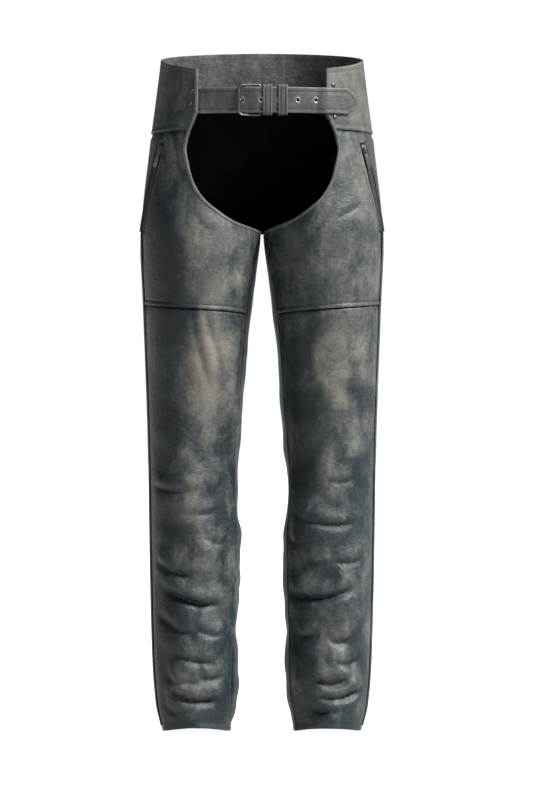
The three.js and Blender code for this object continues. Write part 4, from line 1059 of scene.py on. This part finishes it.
# ------------------------------------------------------------------ zips
def tooth_shape():
    """One cast tooth: a rounded block with a raised, pinched head, along x (across the zip)."""
    rings = [(-.1, .55, .5), (.5, .62, .85), (1.6, .55, 1.0), (2.4, .62, 1.0), (3.0, .58, .85), (3.3, .3, .5)]
    points, sides = [], 8
    for x, half_y, half_z in rings:
        for t in np.linspace(0, FULL_TURN, sides, False) + math.pi / sides:
            points.append((x, half_y * np.sign(math.cos(t)) * abs(math.cos(t)) ** .6,
                           half_z * np.sign(math.sin(t)) * abs(math.sin(t)) ** .6))
    points = np.array(points, float)
    return points, outwards(points, tube_faces(len(rings), sides))


TOOTH = tooth_shape()


def zip_piece(side, name, node, frame_at, long, tape):
    """Two tapes with their corded edges, and a row of teeth that mesh along the middle."""
    half, back, wing = tape / 2, -1.3, tape / 2 + 3.6
    upper = [(wing, back - .3), (half, back - .1), (half - .8, back + .8), (2.9, back + .9),
             (2.3, back + 1.5), (1.4, back + 1.5), (.5, back + .9)]
    section = [(-wing, back - .8)] + [(-a, o) for a, o in upper] + [(0, back + .75)] + upper[::-1]
    section += [(wing, back - .8), (half, back - .7), (0, back - .1), (-half, back - .7)]
    stations = []
    over = 5 / long
    for share in np.linspace(-over, 1 + over, max(12, round(long / 8))):
        place, along, across, out = frame_at(share)
        stations.append([place + across * a + out * o for a, o in section])
    tape_piece = sweep_piece(name + "_tape", side, stations, M["tape"], sharp=55)
    heap = Heap()
    pitch = 1.45
    count = int(long / pitch) - 2
    for i in range(count):
        place, along, across, out = frame_at((i + 1.5) * pitch / long)
        sense = 1 if i % 2 else -1
        start = place + across * (-2.55 * sense) + out * .42
        heap.put(TOOTH, start, across * sense * .93, along * .9, out * .78)
    for end in (0, 1):
        place, along, across, out = frame_at(.25 / long * 4 if end == 0 else 1 - 1 / long)
        heap.put(TOOTH, place - across * 1.6 + out * .5, across, along * 2.2, out)
    teeth = heap.piece(name + "_teeth", side, M["teeth"])
    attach(tape_piece, "root")
    settle(teeth, "root", None)
    settle(tape_piece, None, node)


def softened(node, name, material, body, width=.00035, segments=3):
    """A metal part in its CAD shape with rounded edges and fine detail."""
    source = frame["nodes"][node]
    mesh = source.data.copy()
    mesh.name = name
    obj = bpy.data.objects.new(name, mesh)
    bpy.context.scene.collection.objects.link(obj)
    mesh.materials.clear()
    mesh.materials.append(material)
    merge = obj.modifiers.new("weld", "WELD")
    merge.merge_threshold = 1e-6
    flat = obj.modifiers.new("flat", "DECIMATE")
    flat.decimate_type = "DISSOLVE"
    flat.angle_limit = math.radians(1.5)
    bevel = obj.modifiers.new("edges", "BEVEL")
    bevel.width = width
    bevel.segments = segments
    bevel.limit_method = "ANGLE"
    bevel.angle_limit = math.radians(28)
    bevel.use_clamp_overlap = True
    bpy.context.view_layer.update()
    made = bpy.data.meshes.new_from_object(obj.evaluated_get(bpy.context.evaluated_depsgraph_get()))
    obj.modifiers.clear()
    obj.data = made
    made.name = name
    made.polygons.foreach_set("use_smooth", [True] * len(made.polygons))
    made.set_sharp_from_angle(angle=math.radians(42))
    return settle(obj, body, node)


def zips(side):
    zip_piece(side, f"hip_zip_{side}", f"hip_zip_{side}", hip_frame, 136.6, 10)
    zip_piece(side, f"leg_zip_{side}", f"leg_zip_{side}", leg_zip_frame, ZIP_TOP - ZIP_LOW, 12.4)
    for kind, part, owner, finish in (
            ("hip", "slider", "hip_slider", "nickel"), ("hip", "puller", "hip_puller", "nickel"),
            ("leg", "slider", "leg_slider", "gunmetal"), ("leg", "puller", "leg_slider", "gunmetal")):
        softened(f"{kind}_zip_{part}_{side}", f"{kind}_{part}_metal_{side}", M[finish],
                 f"{owner}_{side}")
    heap = Heap()
    for sense in (-1, 1):
        points, outs = [], []
        for share in np.linspace(-.02, 1.02, 40):
            place, _, across, _ = hip_frame(share)
            p = place + across * sense * (SLOT_HALF + SLOT_STITCH_INSET)
            turn, height = np.array(float(on_surface(p))), np.array(p[2])
            out = normal(turn, height)
            raised = float(lift(side, turn[None], height[None])[0])
            points.append(face(turn, height) + out * (.16 + raised))
            outs.append(out)
        stitches(heap, np.array(points), np.array(outs), 3.4)
    settle(heap.piece(f"hip_zip_stitches_{side}", side, M["thread_dark"]), "root", None)


def on_surface(point):
    """Angle of the surface point at this height nearest to a place on the front of the hip."""
    turns = np.linspace(-.3, 1.6, 400)
    found = face(turns, np.full(400, point[2]))
    return turns[np.argmin(np.linalg.norm(found - point, axis=1))]


# ------------------------------------------------------------------ pocket bags, flaps and snaps
def pocket(side):
    heights = spaced(CROTCH - 31.5, CROTCH + 110.5, 6, (0, 1.5, 4))
    shares = columns_for(150, 6, (0, 1.5, 4))
    low, high = math.radians(24), math.radians(84)
    angles = between(low + 0 * heights, high + 0 * heights, shares)

    def relief(a, b, c, d):
        return -.8 * (1 - bell(np.minimum.reduce([a, b, c, d]), 14)) + .3 * np.sin(c / 13 + a / 29)
    made = shell_piece(f"pocket_bag_{side}", side, angles, heights[:, None] + 0 * angles, LEATHER + 6.6, 2.2,
                       M["pocket"], relief, None, .45, False)
    settle(made, "root", f"hip_pocket_bag_{side}")


def flap(side):
    body = f"storm_flap_body_{side}"
    heights = spaced(FLAP_LOW, FLAP_TOP, 5)
    shares = columns_for(FLAP_WIDE, 2.2, (0, .7, 1.6, 2.8, 4.2, 5.6, 7, 8.4))
    free = FLAP_EDGE - FLAP_WIDE / leg_depth(heights)
    angles = between(free, FLAP_EDGE + 0 * heights, shares)
    grid = heights[:, None] + 0 * angles

    def relief(low, high, start, end):
        root = 1 - smooth(end, .5, 6)
        tips = 2 - smooth(low, 0, 30) - smooth(high, 0, 40)
        return -1.0 * np.maximum(root, tips) + ridge(end, 6.2, .5, 2.6) + ridge(start, 2.2, .35, 2) \
            + ridge(start, 6.6, -.3, 1.2)
    made = shell_piece(f"flap_leather_{side}", side, angles, grid, -FLAP_STANDOFF, FLAP_THICK, M["flap"],
                       relief, None, .4)
    settle(made, None, f"storm_flap_{side}")
    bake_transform(made)
    free = FLAP_EDGE - (FLAP_WIDE - 6.6) / leg_depth(heights[4:-4])
    stitched_rows("flap_stitches", side, "thread_dark", body,
                  [(free, heights[4:-4], FLAP_STANDOFF - .2, None)])
    sewn = FLAP_EDGE + 2.6 / leg_depth(heights)
    stitched_rows("flap_seam_stitches", side, "thread_dark", "root",
                  [(sewn, heights, .12, lift)])

    angle = np.array(FLAP_EDGE - SNAP_BACK / float(leg_depth(SNAP_HEIGHT)))
    height = np.array(SNAP_HEIGHT)
    out = normal(angle, height)
    across = unit(np.cross([0, 0, 1], out))
    up = np.cross(out, across)
    cap = turned([(0, 0), (5.3, 0), (5.5, .3), (5.45, .8), (5.1, 1.15), (4.2, 1.3), (4.0, 1.2), (3.6, 1.45),
                  (2.6, 1.8), (1.2, 1.98), (0, 2.0)], 36)
    stud = turned([(0, 0), (3.9, 0), (4, .2), (3.7, .45), (2.6, .5), (2.3, .6), (1, .55), (0, .5)], 30)
    for shape, depth, name, node, owner in ((cap, 2.7, "snap_cap", "ankle_snap_cap", body),
                                            (stud, .4, "snap_stud", "ankle_snap_stud", "root")):
        heap = Heap()
        heap.put(shape, skin(angle, height, -depth), across, up, out)
        settle(heap.piece(f"{name}_{side}", side, M["nickel"], 50), owner, f"{node}_{side}")


# ------------------------------------------------------------------ belt
def belt_centre():
    turn = angle_at(YOKE_EDGE, BELT, 1)
    edge = skin(turn, BELT, 6.4)
    return edge[1] + math.sqrt(BELT_RADIUS**2 - edge[0] ** 2)


BELT_Y = float(belt_centre())


def on_belt(x, radius, height=BELT):
    x, radius, height = np.broadcast_arrays(*(np.asarray(v, float) for v in (x, radius, height)))
    return np.stack([x, BELT_Y - np.sqrt(radius**2 - x**2), height], -1)


def on_yoke(x, depth, height=BELT):
    x, height = np.broadcast_arrays(np.asarray(x, float), np.asarray(height, float))
    point = skin(angle_at(np.abs(x), height, 1), height, depth)
    return np.stack([np.sign(x) * point[..., 0], point[..., 1], height], -1)


def yoke_lean(x):
    return smooth(x, YOKE_EDGE - 18.6, YOKE_EDGE - 2.6)[..., None]


def tip_line(x, height=BELT):
    x, height = np.broadcast_arrays(np.asarray(x, float), np.asarray(height, float))
    held = mix(on_belt(x, BELT_RADIUS, height), on_yoke(x, 6.4, height), yoke_lean(-x))
    radius = mix(BELT_RADIUS, TIP_OVER, smooth(x, EYELETS[0] - 3.5, HEEL_X - 6))
    along = mix(on_belt(x, radius, height), on_yoke(x, 7.8 - TIP_OVER + BUCKLE_RADIUS, height), yoke_lean(x))
    over = mix(along, on_yoke(x, -3.1, height), smooth(x, YOKE_EDGE - 17, YOKE_EDGE + 1)[..., None])
    return np.where((x < 18.6 - YOKE_EDGE)[..., None], held, over)


def buckle_line(x, height=BELT):
    x, height = np.broadcast_arrays(np.asarray(x, float), np.asarray(height, float))
    return mix(on_belt(x, BUCKLE_RADIUS, height), on_yoke(x, 7.8, height), yoke_lean(x))


def rounded_section(half, thick):
    """(height, out, edge wear, shade) round a strap's section, its long sides with several points."""
    e, t = min(.9, half * .45), thick / 2
    is_wide = half > 12
    rise = [e, 2.2, 5.2, 6.4, 7.6]
    front = ([*(-half + r for r in rise), -half * .35, 0, half * .35, *(half - r for r in rise[::-1])]
             if is_wide else list(np.linspace(-half + e, half - e, 13)))
    grooves, wear = (3, 9), {0: 1, 12: 1, 1: .25, 11: .25}
    # The stitch grooves are darkened by .2 as painted shade.
    points = [(h, t - (.28 if is_wide and i in grooves else 0), wear.get(i, 0), -.2 if i in grooves else 0)
              for i, h in enumerate(front)]
    points += [(half - .25 * e, t * .62, 1, 0), (half, 0, 1, 0), (half - .25 * e, -t * .62, 1, 0)]
    points += [(h, -t, 0, 0) for h in front[::-1]]
    points += [(-half + .25 * e, -t * .62, 1, 0), (-half, 0, 1, 0), (-half + .25 * e, t * .62, 1, 0)]
    return points


def strap(name, line, xs, halves, thick, material, shade=0.0):
    stations, colours = [], []
    for x, half in zip(xs, halves):
        section = rounded_section(half, thick)
        heights = BELT + np.array([s[0] for s in section])
        places = line(np.full(len(section), x), heights)
        ahead = line(np.full(len(section), x + .4), heights) - line(np.full(len(section), x - .4), heights)
        ahead[:, 2] = 0
        out = np.cross(unit(ahead), [0, 0, 1.0])
        offset = np.array([s[1] for s in section])
        dent = .12 * math.sin(x / 8.3) * math.sin(x / 3.1 + 1)
        stations.append(places + out * (offset + dent * (offset > 0))[:, None])
        colours += [(.5 + shade + s[3], s[2], .15) for s in section]
    return sweep_piece(name, "left", stations, material, sharp=65, colours=np.array(colours))


def drilled(obj, tools):
    for shape, place, x, y, z in tools:
        heap = Heap()
        heap.put(shape, place, x, y, z)
        cut_with(obj, heap.piece("drill", "left", None))


def line_frame(line, x):
    along = unit(line(x + .5) - line(x - .5))
    return line(x), along, np.array([0, 0, 1.0]), np.cross(along, [0, 0, 1.0])


def strap_row(heap, xs, reach, above):
    """Two mirrored rows of stitches on the tip strap, `reach` above and below its middle."""
    for sense in (-1, 1):
        points = tip_line(xs, BELT + sense * reach)
        out = np.cross(unit(np.gradient(points, axis=0) * [1, 1, 0]), np.array([0, 0, 1.0]))
        stitches(heap, points + out * above, out, BELT_PITCH)


def belt():
    up = np.array([0, 0, 1.0])
    half = BELT_WIDE / 2
    point = TIP_SHOULDER + (TIP_END - TIP_SHOULDER) * np.array([.1, .22, .36, .5, .64, .76, .87, .95, 1])
    xs = np.concatenate([
        np.linspace(-YOKE_EDGE - 35, -YOKE_EDGE + 20, 22), np.linspace(-YOKE_EDGE + 24, -36, 14),
        np.linspace(-33, -4, 14), np.linspace(0, YOKE_EDGE - 14, 20),
        np.linspace(YOKE_EDGE - 12, YOKE_EDGE + 4, 14), np.linspace(YOKE_EDGE + 7, TIP_SHOULDER, 9), point])
    share = np.clip((xs - TIP_SHOULDER) / (TIP_END - TIP_SHOULDER), 0, 1)
    halves = np.maximum(half * (1 - share) ** .92, 1.4)
    tip = strap("belt_tip_leather", tip_line, xs, halves, TIP_THICK, M["strap"], .02)
    drill = turned([(0, -7), (3.2, -7), (3.2, 7), (0, 7)], 24)
    drilled(tip, [(drill, *line_frame(tip_line, x)) for x in EYELETS])
    settle(tip, "root", "belt_tip_strap")
    ring = eyelet_shape()
    for i, x in enumerate(EYELETS):
        heap = Heap()
        heap.put(ring, *line_frame(tip_line, x))
        eyelet = heap.piece(f"eyelet_{i + 1}", "left", M["eyelet"], 50)
        settle(eyelet, "root", f"belt_eyelet_{i + 1}")

    xs = np.concatenate([np.linspace(YOKE_EDGE + 33.4, YOKE_EDGE - 20, 26),
                         np.linspace(YOKE_EDGE - 24, 2, 16)])
    flare = profile([(YOKE_EDGE + .4, half), (YOKE_EDGE + 7.4, 30), (YOKE_EDGE + 50, 30)])
    lower_fold = BUCKLE_RADIUS - HEEL_RADIUS
    path = [(x, None) for x in xs]
    path += [(HEEL_X + lower_fold * math.cos(t), HEEL_RADIUS + lower_fold * math.sin(t))
             for t in map(math.radians, np.linspace(90, 270, 15))]
    path += [(x, HEEL_RADIUS - lower_fold) for x in (HEEL_X + 4, HEEL_X + 8, HEEL_X + 12, HEEL_X + 16)]
    stations = []
    middle = [buckle_line(x) if r is None else on_belt(x, r) for x, r in path]
    for i, (x, r) in enumerate(path):
        h = float(flare(x)) if r is None else half
        section = rounded_section(h, BUCKLE_THICK)
        heights = BELT + np.array([s[0] for s in section])
        full = np.full(len(section), float(x))
        places = buckle_line(full, heights) if r is None else on_belt(full, r, heights)
        ahead = middle[min(i + 1, len(path) - 1)] - middle[max(i - 1, 0)]
        out = np.cross(unit(ahead * [1, 1, 0]), up)
        stations.append(places - out * np.array([s[1] for s in section])[:, None])
    colours = np.tile([.5, 0, .1], (len(path) * len(stations[0]), 1))
    buckle_strap = sweep_piece("belt_buckle_leather", "left", stations, M["strap"], sharp=65, colours=colours)
    slot = turned([(0, -12), (2.4, -12), (2.4, 12), (0, 12)], 20)
    drilled(buckle_strap, [(slot, on_belt(HEEL_X - 1, HEEL_RADIUS), np.array([3.3, 0, 0]), up,
                            np.array([0, -1.0, 0]))])
    settle(buckle_strap, "root", "belt_buckle_strap")

    heap = Heap()
    reach, turn_at = half - BELT_STITCH_INSET, TIP_SHOULDER + 1
    xs = np.linspace(-YOKE_EDGE - 2, turn_at, 240)
    strap_row(heap, xs, reach, TIP_THICK / 2 - .12)
    xs = np.linspace(turn_at, TIP_END - 8, 20)
    strap_row(heap, xs, reach * np.maximum(1 - (xs - turn_at) / (TIP_END - 8 - turn_at), 0) ** .92,
              TIP_THICK / 2 + .05)
    settle(heap.piece("belt_stitches", "left", M["thread_dark"]), "root", None)


def eyelet_shape():
    """Rolled ring through the strap, hollow along its own axis."""
    outer, inner = 2.1, 1.62
    outline = [(2.5, -outer + .3), (2.7, -outer), (3.4, -outer - .05), (4.35, -outer + .12), (4.6, -inner),
               (3.0, -inner), (3.0, inner), (4.6, inner), (4.5, outer - .1), (3.5, outer + .08),
               (2.75, outer - .05), (2.5, outer - .35)]
    points, segments = [], 28
    for t in np.linspace(0, FULL_TURN, segments, False):
        points += [(r * math.cos(t), r * math.sin(t), h) for r, h in outline]
    points = np.array(points)
    return points, outwards(points, tube_faces(segments, len(outline), True))


def wire_piece(name, points, up, section, material, closed=False, sharp=60):
    points = np.asarray(points, float)
    n = len(points)
    stations = []
    for i in range(n):
        before = points[(i - 1) % n] if closed else points[max(i - 1, 0)]
        after = points[(i + 1) % n] if closed else points[min(i + 1, n - 1)]
        side = unit(np.cross(after - before, up))
        profile_here = section(i / (n - 1)) if callable(section) else section
        stations.append([points[i] + side * a + np.asarray(up) * b for a, b in profile_here])
    return sweep_piece(name, "left", stations, material, closed, sharp)


def round_section(diameter, sides=18):
    return [(math.cos(t) * diameter / 2, math.sin(t) * diameter / 2)
            for t in np.linspace(0, FULL_TURN, sides, False)]


def dense_ring(ring, pitch):
    """A closed ring with more points along its straight runs."""
    made = []
    for i, p in enumerate(ring):
        q = ring[(i + 1) % len(ring)]
        steps = max(1, round(math.dist(p, q) / pitch))
        made += [mix(p, q, s / steps) for s in range(steps)]
    return np.array(made)


def buckle():
    heel, front = on_belt(HEEL_X, HEEL_RADIUS), on_belt(FRONT_X, FRONT_RADIUS)
    long = float(np.linalg.norm(front - heel))
    across, up = unit(front - heel), np.array([0, 0, 1.0])
    half = (BELT_WIDE + WIRE) / 2 + 1.5
    points = []
    for far, high, start in ((0, -1, 180), (1, -1, 270), (1, 1, 0), (0, 1, 90)):
        corner = 6 if far else 3
        for t in np.radians(np.linspace(start, start + 90, 9)):
            a = far * long + (-1 if far else 1) * corner + corner * math.cos(t)
            b = high * (half - corner) + corner * math.sin(t)
            points.append(heel + across * a + up * b)
    frame_normal = unit(np.cross(across, up))
    made = wire_piece("buckle_frame_metal", dense_ring(points, 3), frame_normal, round_section(WIRE),
                      M["nickel"], True, None)
    settle(made, "buckle_frame_body", "buckle_frame")

    loop = WIRE / 2 + .3 + PRONG / 2
    low = HEEL_RADIUS - loop
    hole, rest = EYELETS[0], FRONT_RADIUS + (WIRE + PRONG) / 2 + .3
    path = [(HEEL_X + loop * math.cos(t), HEEL_RADIUS + loop * math.sin(t))
            for t in map(math.radians, np.linspace(150, -90, 22))]
    path += [(hole + 21.5, low + .1), (hole + 14.5, low + .6), (hole + 8.5, low + 1.2), (hole + 4, low + 1.9),
             (hole + 1.5, low + 3.1), (hole + .2, low + 5.4), (hole - .1, rest - 7.8), (hole - .6, rest - 5),
             (hole - 1.9, rest - 2.4), (hole - 4.1, rest - .4), (FRONT_X - 2, rest)]
    raw = np.array([on_belt(x, r) for x, r in path])
    run = np.concatenate([[0], np.cumsum(np.linalg.norm(np.diff(raw, axis=0), axis=1))])
    at = np.linspace(0, run[-1], 90)
    fine = np.stack([profile(list(zip(run, raw[:, i])))(at) for i in range(3)], -1)

    def tapered(s):
        return round_section(PRONG * (1 - .35 * max(0, (s - .93) / .07) ** 2), 14)
    made = wire_piece("buckle_prong_metal", fine, up, tapered, M["nickel"], False, 60)
    settle(made, "buckle_prong_body", "buckle_prong")


def keeper(name, x, inner, body):
    """Leather loop with pressed ribs round the belt."""
    wide, wall = 13.7, 2.2
    outer = TIP_OVER + TIP_THICK / 2 + .6 + .4 + wall
    middle = (outer + inner) / 2
    deep, high, corner = (outer - inner - wall) / 2, BELT_WIDE / 2 + 1.65 + wall / 2, 2.2
    ring = []
    for d, h, start in ((1, 1, 0), (-1, 1, 90), (-1, -1, 180), (1, -1, 270)):
        for t in np.radians(np.linspace(start, start + 90, 7)):
            ring.append((d * (deep - corner) + corner * math.cos(t),
                         h * (high - corner) + corner * math.sin(t)))
    centre, along, up, out = line_frame(lambda at: on_belt(at, middle), x)
    points = [centre + out * d + up * h for d, h in dense_ring(np.array(ring), 2.4)]
    half = wide / 2
    across = np.linspace(-half + .5, half - .5, 25)
    ribs = -.42 * bell(np.abs(across) - 3.5, .75)
    section = [(-wall / 2 - r, a) for a, r in zip(across, ribs)]
    section += [(-wall * .3, half), (wall * .3, half)] + [(wall / 2, a) for a in across[::-6]]
    section += [(wall * .3, -half), (-wall * .3, -half)]
    wear = [0] * len(section)
    for i in (0, 1, 23, 24, 25, len(section) - 1):
        wear[i] = 1
    obj = wire_piece("keeper_" + name + "_leather", points, along, section, M["strap"], True, 65)
    layer = obj.data.attributes.new("paint", "FLOAT_COLOR", "POINT")
    # Painted shade along the pressed ribs, by their depth.
    shade = [.5 + .9 * r for r in ribs] + [.5] * (len(section) - len(ribs))
    rgba = np.tile(np.array([[t, w, .1, 1] for t, w in zip(shade, wear)], np.float32), (len(points), 1))
    layer.data.foreach_set("color", rgba.ravel())
    settle(obj, body, "belt_keeper_" + name)


def rivets():
    for name, sign, reach, rise, stack in (
            ("right_upper", -1, 9.4, 15, 7.9), ("right_lower", -1, 11.9, -5, 7.9),
            ("left_upper", 1, 10.9, BELT_WIDE / 2 + 4.5, 9.0),
            ("left_lower", 1, 13.4, -BELT_WIDE / 2 - 5.25, 9.0)):
        height = np.array(BELT + rise)
        angle = angle_at(YOKE_EDGE + reach, height, 1)
        out = normal(angle, height)
        across = unit(np.cross([0, 0, 1.0], out))
        inner = -stack - .4
        shape = turned([(0, inner - 1.2), (2.8, inner - 1.1), (3.2, inner - .8), (3.24, inner), (1.3, inner),
                        (1.3, .4), (3.3, .4), (3.6, .6), (3.5, 1.0), (3.0, 1.4), (2.3, 1.65), (2.05, 1.6),
                        (1.5, 1.95), (0, 2.1)], 30)
        heap = Heap()
        heap.put(shape, skin(angle, height), across, np.cross(out, across), out)
        made = heap.piece("rivet_" + name, "left" if sign > 0 else "right", M["dull"], 50)
        settle(made, "root", "strap_rivet_" + name)


# ------------------------------------------------------------------ stitching
def leg_stitches(side):
    turns = np.linspace(float(zip_edge(THIGH_OUTER, 1)) + .03, INSEAM - .02, 160)
    stitched_rows("thigh_seam_stitches", side, "thread_dark", "root",
                  [(turns, thigh_seam(turns) + SEAM_STITCH_UP, STITCH_ABOVE, lift)])

    front_end = float(front_edge(np.array(YOKE_SIDE + 12.), 8))
    rim_end = float(front_edge(np.array(RIM_SIDE), PANEL_INSET))
    front = np.linspace(SIDE + .02, front_end - .02, 140)
    back = np.linspace(-math.pi + .03, SIDE - .02, 200)
    top = np.linspace(SIDE + .02, rim_end - .02, 120)
    stitched_rows("yoke_stitches", side, "thread", "root", [
        (front, yoke_seam(front) + YOKE_STITCH_UP, STITCH_ABOVE, None),
        (back, yoke_seam(back) + YOKE_STITCH_UP, STITCH_ABOVE, None),
        (back, rim(back) - RIM_STITCH_DROP, STITCH_ABOVE, None),
        (top, rim(top) - RIM_STITCH_DROP, STITCH_ABOVE, None)])

    heap = Heap()
    turns = np.linspace(-math.pi + .03, SIDE, 220)
    for drop in (RIM_STITCH_DROP, BAND_STITCH_DROP):
        heights = rim(turns) - drop
        out = normal(turns, heights)
        stitches(heap, face(turns, heights) - out * (LEATHER + 1.45), -out, FACING_PITCH)
    settle(heap.piece(f"facing_stitches_{side}", side, M["thread_dark"]), "root", None)

    front = np.linspace(float(zip_edge(20., 1)) + .04, INSEAM - .03, 130)
    back = np.linspace(INSEAM - FULL_TURN + .05, float(zip_edge(20., -1)) - .04, 150)
    stitched_rows("hem_stitches", side, "thread_dark", "root", [
        (turns, HEM_CURVE * np.sin(turns) ** 2 + HEM_STITCH_UP, STITCH_ABOVE, lift)
        for turns in (front, back)])


# ------------------------------------------------------------------ stage, light and camera
def stage():
    """Pale floor, and a black card inside the front opening, flat black like the dark behind it: painted
    shade standing in for the inside of the garment.
    """
    bpy.ops.mesh.primitive_grid_add(x_subdivisions=8, y_subdivisions=8, size=60,
                                    location=(0, 0, -BELT / 1000 - .0015))
    floor = bpy.context.object
    floor.name = "studio_floor"
    n = Nodes("studio_floor_pale")
    soft = n.noise(3, 2, .5)
    n.finish(n.blend(soft, (.25, .25, .25), (.28, .28, .28)), .9, specular=.05)
    n.shader.inputs["Emission Color"].default_value = (1, 1, 1, 1)
    n.shader.inputs["Emission Strength"].default_value = .96
    floor.data.materials.append(n.material)
    heights = np.concatenate([[CROTCH - 4], CROTCH + .5 + 22 * np.linspace(0, 1, 12)[:-1] ** 1.6,
                              np.linspace(CROTCH + 22.5, BELT - 4, 30)])
    halves = np.where(heights > CROTCH, front_opening(heights + 3) + 4, 1.4)
    shares = np.linspace(-1, 1, 17)
    across = halves[:, None] * shares
    points = np.stack([across, 26 - 16 * shares**2 + 0 * across, heights[:, None] + 0 * across], -1)
    # The card is painted shade: a flat black sheet where there is only the dark inside of the garment.
    card = new_object("painted_shade_card", points, grid_faces(len(heights), 17), "left", painted_shade_material())


def painted_shade_material():
    n = Nodes("matte_black_painted_shade")
    soft = n.noise(60, 3, .5)
    base = n.blend(soft, (.0004, .0004, .0004), (.0012, .0012, .0012))
    return n.finish(base, 1.0, n.bump(soft, .0002), specular=0.0)


def world():
    """White behind the object, pale grey elsewhere."""
    w = bpy.data.worlds.new("studio_world")
    w.use_nodes = True
    bpy.context.scene.world = w
    tree = w.node_tree
    back = next(n for n in tree.nodes if n.type == "BACKGROUND")
    coord = tree.nodes.new("ShaderNodeTexCoord")
    split = tree.nodes.new("ShaderNodeSeparateXYZ")
    ramp = tree.nodes.new("ShaderNodeValToRGB")
    stops = (.93, (.2, .205, .215)), (.985, (1.04, 1.04, 1.04))
    for element, (at, colour) in zip(ramp.color_ramp.elements, stops):
        element.position, element.color = at, (*colour, 1)
    tree.links.new(coord.outputs["Generated"], split.inputs["Vector"])
    tree.links.new(split.outputs["Y"], ramp.inputs["Fac"])
    tree.links.new(ramp.outputs["Color"], back.inputs["Color"])
    back.inputs["Strength"].default_value = 1.0


def sun(name, energy, direction, angle, distance=4.0):
    data = bpy.data.lights.new(name, "SUN")
    data.energy = energy
    data.angle = math.radians(angle)
    obj = bpy.data.objects.new(name, data)
    bpy.context.scene.collection.objects.link(obj)
    towards = Vector(direction).normalized()
    obj.location = towards * distance + Vector((0, 0, -.45))
    obj.rotation_euler = (-towards).to_track_quat("-Z", "Y").to_euler()


CAMERA_DISTANCE, CAMERA_HALF_VIEW = 7.0, .62


def camera():
    data = bpy.data.cameras.new("camera")
    data.lens = 18 / math.tan(math.atan(CAMERA_HALF_VIEW / CAMERA_DISTANCE))
    data.sensor_width = 36
    obj = bpy.data.objects.new("camera", data)
    bpy.context.scene.collection.objects.link(obj)
    obj.location = (.0070, -CAMERA_DISTANCE, -.4585)
    obj.rotation_euler = (math.pi / 2, 0, 0)
    data.clip_end = 200
    bpy.context.scene.camera = obj


camera()
world()
sun("key", 13.0, (.80, -.50, .95), 14)
sun("rim", .8, (.9, .5, .5), 30)
bpy.context.scene.view_settings.view_transform = "Standard"
for which in SIDES:
    leg_grids(which)
    linings(which)
    yokes(which)
    bindings(which)
    zips(which)
    pocket(which)
    flap(which)
    leg_stitches(which)
belt()
buckle()
keeper("fixed", 8.5, 2 * HEEL_RADIUS - BUCKLE_RADIUS - BUCKLE_THICK / 2 - .4 - 2.2, "root")
keeper("sliding", 31.5, BUCKLE_RADIUS - BUCKLE_THICK / 2 - .4 - 2.2, "sliding_keeper")
rivets()
stage()
